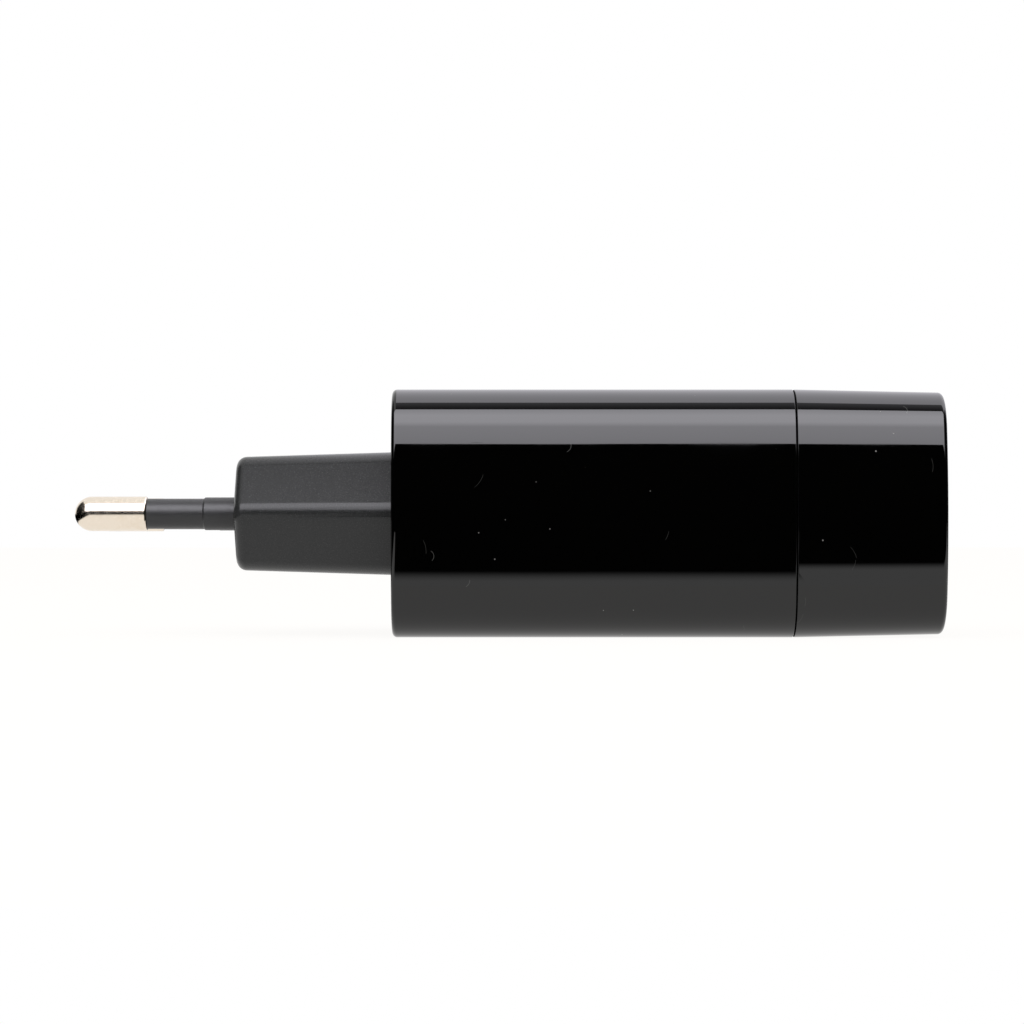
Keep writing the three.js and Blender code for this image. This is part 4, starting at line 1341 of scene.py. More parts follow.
@dataclass(frozen=True)
class UsbPort:
    """One USB type A receptacle: plated shell, white tongue and four sprung terminals."""

    level: str
    wall: float = 0.3
    radius: float = 0.8
    mouth_round: float = 0.1
    base_length: float = 3.5
    tongue_width: float = 11.1
    tongue_recess: float = 1.0
    groove_width: float = 1.4
    groove_depth: float = 1.1
    tongue_round: float = 0.18
    terminal_width: float = 1.0
    terminal_thickness: float = 0.3
    crest_length: float = 2.8
    crest_lead: float = 0.6
    crest_steps: int = 14
    tongue_gap: float = 0.35
    tongue_thickness: float = 1.84
    groove_stop: float = 0.6
    tabs: SpringTab = SpringTab(71.0)

    def build(self, paint: Paintbox) -> None:
        """Builds and dresses the port."""
        paint.stand_in(f"usb_shell_{self.level}", self.shell_mesh(), Finish.PORT_STEEL, sharp=40)
        paint.stand_in(f"usb_tongue_{self.level}", self.tongue_mesh(), Finish.WHITE, sharp=40)
        for signal in ("ground", "data_plus", "data_minus", "vbus"):
            node = f"usb_terminal_{signal}_{self.level}"
            paint.stand_in(node, self.terminal_mesh(NodeBox.of(node)), Finish.BRASS,
                           body=f"{self.level}_terminals", sharp=40)

    def shell_mesh(self) -> BMesh:
        """The drawn shell with its mouth edges broken and two leaves in each wide wall."""
        box = NodeBox.of(f"usb_shell_{self.level}")
        half = box.size / 2
        bm = plate_prism(box.length, half.y, half.z, self.radius)
        round_edges(bm, edges_at(bm, box.high.x), self.mouth_round, 2)
        mouth = end_face(bm, ALONG_X)
        bmesh.ops.inset_region(bm, faces=[mouth], thickness=self.wall - self.mouth_round,
                               use_even_offset=True)
        back = end_face(bm, -ALONG_X)
        bmesh.ops.inset_region(bm, faces=[back], thickness=self.wall, use_even_offset=True)
        rims = {*mouth.edges, *back.edges}
        loops = [e for e in bm.edges if e in rims]
        bmesh.ops.delete(bm, geom=[mouth, back], context="FACES_ONLY")
        bmesh.ops.bridge_loops(bm, edges=loops)
        bmesh.ops.recalc_face_normals(bm, faces=bm.faces)
        windows, leaves = [], []
        for inward in (1, -1):
            wall_z = -inward * (half.z - self.wall)
            outside = -inward * (half.z + 0.5)
            for y in (-half.y / 2, half.y / 2):
                low, high = sorted((wall_z + inward * 0.2, outside))
                windows.append(self.tabs.window(y, low, high))
                leaves.append(self.tabs.leaf(y, wall_z - inward * self.wall / 2, inward, self.wall))
        body = merged([combined(bm, windows, Cut.AWAY), *leaves])
        moved(body, (0, 0, box.centre.z))
        return body

    def tongue_mesh(self) -> BMesh:
        """The moulded base and tongue, with a groove under each terminal."""
        box = NodeBox.of(f"usb_tongue_{self.level}")
        shell = NodeBox.of(f"usb_shell_{self.level}")
        terminal = NodeBox.of(f"usb_terminal_ground_{self.level}")
        half_y, half_z = box.size.y / 2, box.size.z / 2
        base_end = box.low.x + self.base_length
        base = plate_prism(Span(box.low.x, base_end), half_y, half_z, self.radius - self.wall)
        moved(base, (0, 0, shell.centre.z))
        face = terminal.high.z - self.terminal_thickness - self.tongue_gap
        top = face + self.tongue_thickness
        tongue = box_solid((base_end - 1, -self.tongue_width / 2, face),
                           (box.high.x, self.tongue_width / 2, top), self.tongue_round, 3)
        grooves = []
        for signal in ("ground", "data_plus", "data_minus", "vbus"):
            y = NodeBox.of(f"usb_terminal_{signal}_{self.level}").centre.y
            low, high = y - self.groove_width / 2, y + self.groove_width / 2
            roof = face + self.groove_depth
            grooves.append(box_solid((box.low.x - 1, low, face), (base_end + 1, high, roof)))
            stop = box.high.x - self.groove_stop
            grooves.append(box_solid((base_end, low, face - 1), (stop, high, roof)))
        return combined(combined(base, [tongue], Cut.ONTO), grooves, Cut.AWAY)

    def terminal_mesh(self, box: NodeBox) -> BMesh:
        """A sprung strip with a rounded crest that meets the plug's contact."""
        half = self.terminal_thickness / 2
        level = box.high.z - half
        dip = level - half - box.low.z
        crest = Span(box.high.x - self.crest_length, box.high.x)
        bm = bmesh.new()
        y = box.centre.y - self.terminal_width / 2
        vert = bmesh.ops.create_vert(bm, co=(box.low.x, y, level))["vert"][0]
        vert = line_to(bm, vert, (crest.start - self.crest_lead, y, level))
        for i in range(self.crest_steps + 1):
            along = i / self.crest_steps
            sag = dip * math.sin(math.pi * along) ** 1.5
            vert = line_to(bm, vert, (crest.start + (crest.length - half) * along, y, level - sag))
        swept(bm, bm.edges[:], (0, self.terminal_width, 0))
        moved(bm, (0, 0, half))
        bmesh.ops.recalc_face_normals(bm, faces=bm.faces)
        if bm.faces[:][0].normal.z < 0:
            bmesh.ops.reverse_faces(bm, faces=bm.faces[:])
        bmesh.ops.solidify(bm, geom=bm.faces[:], thickness=self.terminal_thickness)
        bmesh.ops.recalc_face_normals(bm, faces=bm.faces)
        return bm


# ---- interior ------------------------------------------------------------------------------------


@dataclass(frozen=True)
class BoardPart:
    """A part that stands on the main board, with leads through its holes."""

    node: str
    finishes: tuple[Finish, ...]
    pitch: float
    lead: float = 0.6
    seat: float = 0.1
    sharp: float = 40.0

    @property
    def box(self) -> NodeBox:
        """The part's box, leads and all."""
        return NodeBox.of(self.node)

    @property
    def foot(self) -> float:
        """The level that the part's body stands at."""
        return NodeBox.of("main_board").high.z + self.seat

    def build(self, paint: Paintbox) -> None:
        """Builds and dresses the part."""
        body = merged([self.body(), *(self.rod(x, y, top) for x, y, top in self.leads())])
        self.mark(body)
        paint.stand_in(self.node, body, *self.finishes, sharp=self.sharp)

    def mark(self, body: BMesh) -> None:
        """Numbers the faces that have another finish."""
        number_faces(body, self.is_metal)

    def body(self) -> BMesh:
        """The part's own shape, without its leads."""
        raise NotImplementedError

    def leads(self) -> list[tuple[float, float, float]]:
        """Where each lead stands and how high it reaches."""
        x, y = self.box.centre.x, self.box.centre.y
        return [(x, y + side * self.pitch / 2, self.foot + 1) for side in (1, -1)]

    def is_metal(self, middle: Vector) -> bool:
        """Whether a face at this place is bare lead."""
        return middle.z < self.foot

    def rod(self, x: float, y: float, top: float) -> BMesh:
        """One straight lead, from its tail under the board up into the part."""
        bm = bmesh.new()
        height = top - self.box.low.z
        bmesh.ops.create_cone(bm, cap_ends=True, segments=12, radius1=self.lead / 2,
                              radius2=self.lead / 2, depth=height)
        moved(bm, (x, y, self.box.low.z + height / 2))
        return bm

    def standing(self, bm: BMesh, level: float) -> BMesh:
        """Turns a shape lathed about X upright over the part's place."""
        bmesh.ops.rotate(bm, verts=bm.verts, cent=(0, 0, 0),
                         matrix=Matrix.Rotation(-math.pi / 2, 3, "Y"))
        place = (self.box.centre.x, self.box.centre.y, level)
        return moved(bm, place)


@dataclass(frozen=True)
class Can(BoardPart):
    """An electrolytic capacitor: crimped sleeve, bare top with a scored vent."""

    edge: float = 0.5
    groove: Span = Span(1.4, 2.4)
    groove_depth: float = 0.35
    rim: float = 0.8
    recess: float = 0.25
    score: float = 0.3

    def body(self) -> BMesh:
        """The can with its vent scored across the top."""
        radius = self.box.size.x / 2
        height = self.box.high.z - self.foot

        def draw(bm: BMesh) -> None:
            """Draws half the section of the can."""
            vert = bmesh.ops.create_vert(bm, co=(0, 0, 0))["vert"][0]
            waist = radius - self.groove_depth
            middle = (self.groove.start + self.groove.end) / 2
            quarter = self.groove.length / 4
            rim = radius - self.rim
            soft = self.edge * 0.3
            places = ((0, radius - self.edge), (soft, radius - soft), (self.edge, radius),
                      (self.groove.start, radius), (middle - quarter, waist + 0.1), (middle, waist),
                      (middle + quarter, waist + 0.1), (self.groove.end, radius),
                      (height - self.edge, radius), (height - soft, radius - soft),
                      (height, radius - self.edge), (height, rim), (height - self.recess, rim - 0.1),
                      (height - self.recess, 0))
            for x, y in places:
                vert = line_to(bm, vert, (x, y, 0))

        can = self.standing(lathed(draw, 48), self.foot)
        reach = radius - self.rim - 0.3
        low = self.box.high.z - self.recess - 0.12
        middle = self.box.centre
        scores = []
        for half_x, half_y in ((reach, self.score / 2), (self.score / 2, reach)):
            scores.append(box_solid((middle.x - half_x, middle.y - half_y, low),
                                    (middle.x + half_x, middle.y + half_y, low + 1)))
        return combined(can, scores, Cut.AWAY)

    def is_metal(self, middle: Vector) -> bool:
        """Whether a face is bare: a lead, or the vented top inside the crimped rim."""
        off = (middle.xy - self.box.centre.xy).length
        top = middle.z > self.box.high.z - self.edge and off < self.box.size.x / 2 - self.rim
        return top or middle.z < self.foot


@dataclass(frozen=True)
class Drum(BoardPart):
    """A ferrite drum core with a wire coil in its waist."""

    flange: float = 1.2
    waist_depth: float = 0.6
    wire: float = 0.4
    edge: float = 0.15
    sharp: float = 50.0

    def body(self) -> BMesh:
        """The core and its coil, turned in one."""
        radius = self.box.size.x / 2
        height = self.box.high.z - self.foot
        turns = round((height - 2 * self.flange) / self.wire)
        wire = (height - 2 * self.flange) / turns
        waist = radius - self.waist_depth

        def draw(bm: BMesh) -> None:
            """Draws half the section, the coil as one bulge for each turn."""
            vert = bmesh.ops.create_vert(bm, co=(0, 0, 0))["vert"][0]
            for x, y in ((0, radius - self.edge), (self.edge, radius),
                         (self.flange - self.edge, radius), (self.flange, radius - self.edge),
                         (self.flange, waist)):
                vert = line_to(bm, vert, (x, y, 0))
            for i in range(turns):
                centre = Vector((self.flange + wire * (i + 0.5), waist, 0))
                vert = spin_from(bm, vert, centre, -math.pi, 5, Vector((0, 0, 1)))
            far = height - self.flange
            for x, y in ((far, radius - self.edge), (far + self.edge, radius),
                         (height - self.edge, radius), (height, radius - self.edge), (height, 0)):
                vert = line_to(bm, vert, (x, y, 0))

        return self.standing(lathed(draw, 36), self.foot)

    def mark(self, body: BMesh) -> None:
        """Numbers the leads' faces and the coil's."""
        super().mark(body)
        number_faces(body, self.is_coil, 2)

    def is_coil(self, middle: Vector) -> bool:
        """Whether a face belongs to the coil."""
        off = (middle.xy - self.box.centre.xy).length
        inner = self.box.size.x / 2 - self.waist_depth - 0.05
        outer = self.box.size.x / 2 - self.edge - 0.05
        margin = self.flange + MARGIN
        return inner < off < outer and self.foot + margin < middle.z < self.box.high.z - margin


@dataclass(frozen=True)
class Disc(BoardPart):
    """A dipped disc that stands on edge, its coating run down both leads."""

    lift: float = 1.2
    skirt: float = 1.6
    skirt_radius: float = 0.7

    def body(self) -> BMesh:
        """The rounded disc and the two skirts of coating."""
        half = self.box.size.y / 2
        radius = (self.box.high.z - self.foot + self.seat - self.lift) / 2
        rim = min(half, 1.4)

        def draw(bm: BMesh) -> None:
            """Draws half the section of the disc."""
            vert = bmesh.ops.create_vert(bm, co=(-half, 0, 0))["vert"][0]
            vert = line_to(bm, vert, (-half, radius - rim, 0))
            vert = spin_from(bm, vert, Vector((rim - half, radius - rim, 0)), -math.pi / 2, 8,
                             Vector((0, 0, 1)))
            if half > rim:
                vert = line_to(bm, vert, (half - rim, radius, 0))
            vert = spin_from(bm, vert, Vector((half - rim, radius - rim, 0)), -math.pi / 2, 8,
                             Vector((0, 0, 1)))
            line_to(bm, vert, (half, 0, 0))

        disc = lathed(draw, 48)
        bmesh.ops.rotate(disc, verts=disc.verts, cent=(0, 0, 0),
                         matrix=Matrix.Rotation(math.pi / 2, 3, "Z"))
        centre = self.box.centre
        moved(disc, (centre.x, centre.y, self.box.high.z - radius))
        parts = [disc]
        for x, y, top in self.leads():
            cone = bmesh.new()
            bmesh.ops.create_cone(cone, cap_ends=True, segments=20, radius1=self.lead / 2 + 0.08,
                                  radius2=self.skirt_radius, depth=self.skirt)
            moved(cone, (x, y, self.foot + self.skirt / 2 + 0.3))
            parts.append(cone)
        return combined(parts[0], parts[1:], Cut.ONTO)

    def leads(self) -> list[tuple[float, float, float]]:
        """Two leads side by side along X."""
        x, y = self.box.centre.x, self.box.centre.y
        return [(x + side * self.pitch / 2, y, self.foot + self.lift + 1.2) for side in (1, -1)]

    def is_metal(self, middle: Vector) -> bool:
        """Whether a face is bare lead, under the coating's skirts."""
        return middle.z < self.foot + 0.2


@dataclass(frozen=True)
class Package(BoardPart):
    """A moulded package: drafted body, a notch and dimple at one end, two rows of flat legs."""

    legs_per_row: int = 2
    standoff: float = 0.5
    draft: float = 0.25
    edge: float = 0.12

    def body(self) -> BMesh:
        """The moulded block with its marks."""
        low, high = self.box.low, self.box.high
        level = self.foot + self.standoff
        bm = box_solid((low.x, low.y, level), (high.x, high.y, high.z))
        middle = (level + high.z) / 2
        bmesh.ops.bisect_plane(bm, geom=bm.verts[:] + bm.edges[:] + bm.faces[:],
                               plane_co=(0, 0, middle), plane_no=(0, 0, 1))
        ends = [v for v in bm.verts if abs(v.co.z - middle) > MARGIN]
        centre = self.box.centre
        factor = (1 - 2 * self.draft / self.box.size.x, 1 - 2 * self.draft / self.box.size.y, 1)
        bmesh.ops.scale(bm, verts=ends, vec=factor, space=Matrix.Translation(-centre))
        round_edges(bm, [e for e in bm.edges if all(v.co.z > middle + MARGIN for v in e.verts)],
                    self.edge, 3)
        notch, dimple = bmesh.new(), bmesh.new()
        for tool, radius, x, y, depth in (
                (notch, 0.55, low.x + self.draft, centre.y, 0.5),
                (dimple, 0.35, low.x + 1.2, low.y + 1.3, 0.2)):
            bmesh.ops.create_cone(tool, cap_ends=True, segments=24, radius1=radius, radius2=radius,
                                  depth=2 * depth)
            moved(tool, (x, y, high.z))
        return combined(bm, [notch, dimple], Cut.AWAY)

    def leads(self) -> list[tuple[float, float, float]]:
        """Two rows of legs under the long edges."""
        pitch = self.box.size.x / self.legs_per_row
        places = []
        for i in range(self.legs_per_row):
            x = self.box.low.x + pitch * (i + 0.5)
            for y in (self.box.low.y + self.lead, self.box.high.y - self.lead):
                places.append((x, y, self.foot + self.standoff + 0.5))
        return places

    def rod(self, x: float, y: float, top: float) -> BMesh:
        """One flat leg that narrows to a point under the board."""
        half = self.lead / 2 * 0.85
        leg = box_solid((x - half, y - 0.14, self.box.low.z), (x + half, y + 0.14, top))
        tip = [v for v in leg.verts if v.co.z < self.box.low.z + MARGIN]
        bmesh.ops.scale(leg, verts=tip, vec=(0.5, 0.7, 1), space=Matrix.Translation((-x, -y, 0)))
        return leg

    def is_metal(self, middle: Vector) -> bool:
        """Whether a face belongs to a leg."""
        return middle.z < self.foot + self.standoff - MARGIN


@dataclass(frozen=True)
class LyingResistor(BoardPart):
    """A round resistor that lies along X between two bent wires, its end caps a little thicker than its
    middle.
    """

    length: float = 8.0
    waist: float = 0.25

    @property
    def axis_z(self) -> float:
        """The level of its axis."""
        return self.box.high.z - self.box.size.y / 2

    def body(self) -> BMesh:
        """The barrel, a little thicker over its end caps."""
        radius = self.box.size.y / 2
        half = self.length / 2

        def draw(bm: BMesh) -> None:
            """Draws half the section of the barrel."""
            vert = bmesh.ops.create_vert(bm, co=(-half, 0, 0))["vert"][0]
            ends = ((half, radius - 0.6), (half - 0.15, radius - 0.25), (half - 0.5, radius),
                    (half - 1.5, radius), (half - 2.1, radius - self.waist))
            for x, y in ends:
                vert = line_to(bm, vert, (-x, y, 0))
            for x, y in reversed(ends):
                vert = line_to(bm, vert, (x, y, 0))
            line_to(bm, vert, (half, 0, 0))

        barrel = lathed(draw, 40)
        place = (self.box.centre.x, self.box.centre.y, self.axis_z)
        moved(barrel, place)
        return merged([barrel, *(self.wire(side) for side in (1, -1))])

    def leads(self) -> list[tuple[float, float, float]]:
        """None that stand straight up."""
        return []

    def wire(self, side: int) -> BMesh:
        """One wire, up through the board and bent over into the barrel."""
        bend = 0.6
        x = self.box.centre.x + side * self.pitch / 2
        y = self.box.centre.y
        bm = bmesh.new()
        ring = bmesh.ops.create_circle(bm, cap_ends=False, segments=12, radius=self.lead / 2)
        bmesh.ops.translate(bm, verts=ring["verts"], vec=(x, y, self.box.low.z))
        grown = bmesh.ops.extrude_edge_only(bm, edges=bm.edges[:])["geom"]
        far = [item for item in grown if isinstance(item, BMVert)]
        corner = self.axis_z - bend
        bmesh.ops.translate(bm, verts=far, vec=(0, 0, corner - self.box.low.z))
        edges = [item for item in grown if isinstance(item, BMEdge)
                 and all(v in far for v in item.verts)]
        spun = bmesh.ops.spin(bm, geom=edges, cent=(x - side * bend, y, corner), axis=(0, 1, 0),
                              angle=-side * math.pi / 2, steps=8)["geom_last"]
        last = [item for item in spun if isinstance(item, BMEdge)]
        swept(bm, last, (-side * 0.4, 0, 0))
        bmesh.ops.holes_fill(bm, edges=bm.edges)
        bmesh.ops.recalc_face_normals(bm, faces=bm.faces)
        return bm

    def is_metal(self, middle: Vector) -> bool:
        """Whether a face belongs to a wire."""
        off = (Vector((middle.y, middle.z)) - Vector((self.box.centre.y, self.axis_z))).length
        outside = abs(middle.x - self.box.centre.x) > self.length / 2 + MARGIN
        return outside or off > self.box.size.y / 2 + MARGIN


@dataclass(frozen=True)
class Electronics:
    """The boards and everything that stands on them."""

    def build(self, paint: Paintbox) -> None:
        """Builds the parts on the board and dresses the pieces whose frame shapes already serve."""
        steel = Finish.PORT_STEEL
        parts = (
            Can("bulk_capacitor_1", (Finish.CAN_SLEEVE, Finish.CAN_BARE), 3.5),
            Can("bulk_capacitor_2", (Finish.CAN_SLEEVE, Finish.CAN_BARE), 3.5),
            Can("output_capacitor_1", (Finish.CAN_BARE, steel), 2.5),
            Can("output_capacitor_2", (Finish.CAN_BARE, steel), 2.5),
            Drum("filter_inductor", (Finish.FERRITE, steel, Finish.COIL), 4.0),
            Drum("output_choke", (Finish.FERRITE, steel, Finish.COIL), 3.0),
            Disc("varistor", (Finish.EPOXY_BLUE, steel), 5.0),
            Disc("y_capacitor", (Finish.EPOXY_BLUE, steel), 5.0),
            Package("bridge_rectifier", (Finish.EPOXY_BLACK, steel), 0.0),
            Package("controller_chip", (Finish.EPOXY_BLACK, steel), 0.0, legs_per_row=4),
            Package("optocoupler", (Finish.CREAM, steel), 0.0),
            Package("output_rectifier", (Finish.EPOXY_BLACK, steel), 0.0, legs_per_row=1),
            LyingResistor("fusible_resistor", (Finish.EPOXY_GREEN, steel), 9.4),
        )
        for part in parts:
            part.build(paint)
        dressed = {
            Finish.WHITE: ("pin_retainer",),
            Finish.BRASS: ("live_contact", "neutral_contact"),
            Finish.BOARD: ("main_board", "output_board"),
            Finish.FILM: ("insulating_sheet",),
            Finish.EPOXY_BLACK: ("board_header", "transformer_bobbin"),
            Finish.FERRITE: ("transformer_core_left", "transformer_core_right"),
            Finish.WINDING: ("transformer_winding",),
            Finish.TAPE: ("transformer_tape",),
        }
        for finish, nodes in dressed.items():
            paint.repaint(finish, *nodes)
            log.info("dressed %s as %s", ", ".join(nodes), finish.name)


# ---- studio --------------------------------------------------------------------------------------


class GlowBench(NodeBench):
    """Places and wires the nodes of a surface that only glows."""

    def __init__(self, name: str, strength: float) -> None:
        """Starts a glowing material.

        Args:
            name: The material's name.
            strength: How bright its lightest part is.
        """
        super().__init__(name)
        self.strength = strength
        self.glow = self.tree.nodes.new("ShaderNodeEmission")
        self.glow.inputs["Strength"].default_value = strength
        out = next(n for n in self.tree.nodes if n.type == "OUTPUT_MATERIAL")
        self.tree.links.new(self.glow.outputs[0], out.inputs["Surface"])
        self.tree.nodes.remove(self.shader)
        self.material.cycles.emission_sampling = "NONE"

    def part(self, axis: str) -> NodeSocket:
        """One of the three object coordinates."""
        node = self.tree.nodes.new("ShaderNodeSeparateXYZ")
        self.tree.links.new(self.coords, node.inputs[0])
        return node.outputs[axis]

    def grade(self, source: NodeSocket, stops: Sequence[tuple[float, float]], unit: float,
              tint: Colour, blending: str = "LINEAR") -> None:
        """Makes the glow follow a pattern.

        Args:
            source: The pattern.
            stops: Places along the pattern and how bright the glow is there.
            unit: The size of one step of those places.
            tint: The colour of the glow.
            blending: How it goes from one stop to the next.
        """
        first, last = stops[0][0], stops[-1][0]
        ramp = self.tree.nodes.new("ShaderNodeValToRGB")
        place = self.between(source, first * unit, last * unit)
        self.tree.links.new(place, ramp.inputs["Fac"])
        ramp.color_ramp.interpolation = blending
        marks = ramp.color_ramp.elements
        for i, (where, level) in enumerate(stops):
            position = (where - first) / (last - first)
            mark = marks[i] if i < 2 else marks.new(position)
            mark.position = position
            mark.color = (*(level / self.strength * shade for shade in tint), 1)
        self.tree.links.new(ramp.outputs["Color"], self.glow.inputs["Color"])


@dataclass(frozen=True)
class Panel:
    """A stretch of the light tent between two angles above the horizon, in degrees."""

    name: str
    first: float
    last: float
    levels: tuple[float, ...]
    reach: Span = Span(-750, 800)

    @property
    def stops(self) -> list[tuple[float, float]]:
        """Its levels of brightness, evenly spaced, each with its angle."""
        step = (self.last - self.first) / (len(self.levels) - 1)
        return [(self.first + i * step, level) for i, level in enumerate(self.levels)]


@dataclass(frozen=True)
class Studio:
    """The camera, the floor and what the glossy shells reflect."""

    camera_place: Vector = Vector((31.6, -382.3, -2.64))
    camera_tilt: float = math.radians(0.437)
    lens: float = 113.4
    sensor_width: float = 36.0
    lamp_width: float = 0.9
    lamp_depth: float = 0.4
    lamp_power: float = 2.0
    lamp_place: tuple[float, float, float] = (0.03, -0.45, 0.5)
    lamp_tilt: float = math.radians(42)
    paper_colour: Colour = (0.05, 0.05, 0.05)
    paper_glow: Colour = (1.0, 0.99, 0.975)
    paper_glow_strength: float = 0.95
    tent_radius: float = 600.0
    tent_strength: float = 8.0
    shade_edge: float = 15.2
    shade_lead: float = 14.0
    shade_step: float = 115.0
    cap_shade: float = 67.0
    cap_shade_shift: float = 8.5
    shade_fade: Span = Span(2.0, 11.0)
    floor_half: float = 3000.0
    tint: Colour = (1.0, 0.985, 1.05)
    panels: tuple[Panel, ...] = (
        Panel("near_black", -20, 20.5, (0.0, 0.0)),
        Panel("softbox", 20.5, 70, (4.0, 6.5, 6.5, 5.0), Span(-450, 520)),
        Panel("softbox_frame", 70, 91, (0.1, 0.7), Span(-40, 800)),
        Panel("far_white", 91, 200, (3.0, 1.5, 0.0), Span(-40, 800)))
    end_card_top: float = 900.0
    end_shade_x: float = -45.0
    tent_turn: float = 0.44

    def build(self) -> None:
        """Sets up the whole studio."""
        self.place_camera()
        self.light()
        self.lay_floor()
        self.raise_tent()

    def place_camera(self) -> None:
        """Looks level at the charger's narrow side."""
        data = bpy.data.cameras.new("camera")
        data.lens = self.lens
        data.sensor_width = self.sensor_width
        camera = bpy.data.objects.new("camera", data)
        camera.location = self.camera_place * MM
        camera.rotation_euler = (math.pi / 2 + self.camera_tilt, 0, 0)
        bpy.context.scene.collection.objects.link(camera)
        bpy.context.scene.camera = camera

    def light(self) -> None:
        """White surroundings and one soft light above the near side."""
        scene = bpy.context.scene
        scene.view_settings.view_transform = "Standard"
        scene.world = bpy.data.worlds.new("surroundings")
        scene.world.use_nodes = True
        background = next(n for n in scene.world.node_tree.nodes if n.type == "BACKGROUND")
        background.inputs["Color"].default_value = (1, 1, 1, 1)
        background.inputs["Strength"].default_value = 1.0
        data = bpy.data.lights.new("softbox", "AREA")
        data.shape = "RECTANGLE"
        data.size, data.size_y = self.lamp_width, self.lamp_depth
        data.energy = self.lamp_power
        lamp = bpy.data.objects.new("softbox", data)
        lamp.location = self.lamp_place
        lamp.rotation_euler = (self.lamp_tilt, 0, 0)
        lamp.visible_glossy = False
        lamp.visible_camera = False
        bpy.context.scene.collection.objects.link(lamp)

    def staged(self, name: str, bm: BMesh, material: Material, reflected_only: bool) -> Object:
        """Adds an object that isn't part of the charger."""
        bm.transform(Matrix.Scale(MM, 4))
        mesh = bpy.data.meshes.new(name)
        bm.to_mesh(mesh)
        bm.free()
        mesh.materials.append(material)
        obj = bpy.data.objects.new(name, mesh)
        bpy.context.scene.collection.objects.link(obj)
        if reflected_only:
            obj.visible_camera = obj.visible_diffuse = obj.visible_shadow = False
            obj.visible_transmission = obj.visible_volume_scatter = False
        return obj

    def lay_floor(self) -> None:
        """A pale floor, and a black ring on it that only reflections see."""
        level = NodeBox.of("main_housing").low.z
        floor = bmesh.new()
        bmesh.ops.create_grid(floor, x_segments=1, y_segments=1, size=self.floor_half)
        moved(floor, (0, 0, level))
        paper = bpy.data.materials.new("pale_paper")
        paper.use_nodes = True
        shader = next(n for n in paper.node_tree.nodes if n.type == "BSDF_PRINCIPLED")
        shader.inputs["Base Color"].default_value = (*self.paper_colour, 1)
        shader.inputs["Roughness"].default_value = 1.0
        shader.inputs["Specular IOR Level"].default_value = 0.0
        shader.inputs["Emission Color"].default_value = (*self.paper_glow, 1)
        shader.inputs["Emission Strength"].default_value = self.paper_glow_strength
        paper.cycles.emission_sampling = "NONE"
        self.staged("floor", floor, paper, False)
        self.lay_shade(level)

    def lay_shade(self, level: float) -> None:
        """Dark cards on the floor along both sides, faded near the body, that only reflections see."""
        body = NodeBox.of("main_housing")
        near = body.high.y + self.shade_edge
        step = body.low.x - self.shade_lead
        far = self.floor_half
        shade = bmesh.new()
        for side in (1, -1):
            for low, high in (((step, near), (far, far)), ((-far, near + self.shade_step), (step, far))):
                corners = card(shade, high[0] - low[0], high[1] - low[1])
                middle = ((high[0] + low[0]) / 2, side * (high[1] + low[1]) / 2, level + 0.05)
                bmesh.ops.translate(shade, verts=corners, vec=middle)
        bench = GlowBench("shade", 1.0)
        at_cap = bench.maths("GREATER_THAN", bench.part("X"), self.cap_shade * MM)
        set_back = bench.maths("MULTIPLY", at_cap, self.cap_shade_shift * MM)
        edge = bench.maths("ADD", set_back, near * MM)
        beyond = bench.maths("SUBTRACT", bench.maths("ABSOLUTE", bench.part("Y")), edge)
        fade = ((self.shade_fade.start, 1.0), (self.shade_fade.end, 0.0))
        bench.grade(beyond, fade, MM, (1, 1, 1), "EASE")
        self.staged("floor_shade", shade, bench.material, True)

    def raise_tent(self) -> None:
        """A tunnel of graded light over the charger that only reflections see."""
        side = NodeBox.of("main_housing").low.y
        for panel in self.panels:
            self.raise_panel(panel, side)
        self.close_ends(side)

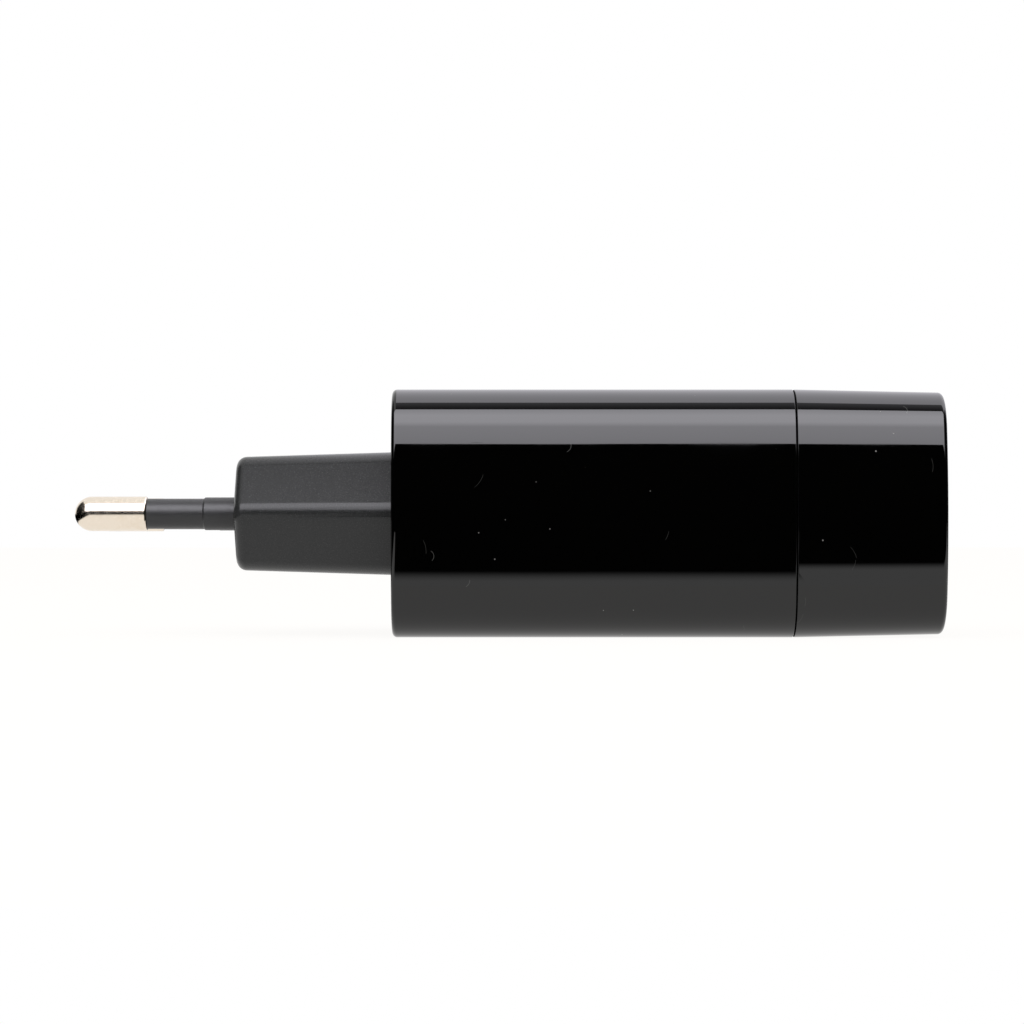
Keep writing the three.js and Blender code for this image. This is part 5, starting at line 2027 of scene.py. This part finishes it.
    def close_ends(self, side: float) -> None:
        """Black cards across both ends of the tunnel and on the floor before the pins."""
        level = NodeBox.of("main_housing").low.z
        reach, height = self.panels[0].reach, self.end_card_top - level
        cards = bmesh.new()
        for x in (reach.start, reach.end):
            corners = card(cards, height, 2 * self.tent_radius)
            bmesh.ops.rotate(cards, verts=corners, cent=(0, 0, 0),
                             matrix=Matrix.Rotation(math.pi / 2, 3, "Y"))
            bmesh.ops.translate(cards, verts=corners, vec=(x, side, level + height / 2))
        width = self.end_shade_x - reach.start
        corners = card(cards, width, 2 * self.tent_radius)
        bmesh.ops.translate(cards, verts=corners, vec=(self.end_shade_x - width / 2, side, level + 0.1))
        bench = GlowBench("end_card", 1.0)
        bench.grade(bench.part("Z"), ((level, 0.0), (self.end_card_top, 0.06)), MM, (1, 1, 1))
        self.staged("end_cards", cards, bench.material, True)

    def raise_panel(self, panel: Panel, side: float) -> None:
        """One stretch of the tunnel.

        Args:
            panel: Its angles and brightness.
            side: The place across the charger that the tunnel turns about.
        """
        arc = bmesh.new()
        start = (panel.reach.start, side - self.tent_radius, 0)
        vert = bmesh.ops.create_vert(arc, co=start)["vert"][0]
        bmesh.ops.rotate(arc, verts=[vert], cent=(0, side, 0),
                         matrix=Matrix.Rotation(-math.radians(panel.first + self.tent_turn), 3, "X"))
        width = panel.last - panel.first
        bmesh.ops.spin(arc, geom=[vert], cent=(0, side, 0), axis=ALONG_X,
                       angle=-math.radians(width), steps=math.ceil(width / 2))
        swept(arc, arc.edges[:], (panel.reach.length, 0, 0))
        bench = GlowBench(panel.name, self.tent_strength)
        across = bench.maths("SUBTRACT", side * MM, bench.part("Y"))
        turned = bench.maths("ARCTAN2", bench.part("Z"), across)
        seam = math.radians(self.panels[-1].last + self.tent_turn) + 1
        wrapped = bench.maths("WRAP", turned, seam, seam - math.tau)
        stops = [(angle + self.tent_turn, level) for angle, level in panel.stops]
        bench.grade(wrapped, stops, math.radians(1), self.tint)
        self.staged(panel.name, arc, bench.material, True)


# ---- the charger ---------------------------------------------------------------------------------


def main() -> None:
    """Builds every sub-assembly in order."""
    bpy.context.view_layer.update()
    paint = Paintbox()
    Studio().build()
    Housing().build(paint)
    Cap().build(paint)
    MainsPlug().build(paint)
    for level in ("upper", "lower"):
        UsbPort(level).build(paint)
    Electronics().build(paint)


if __name__ == "__main__":
    main()
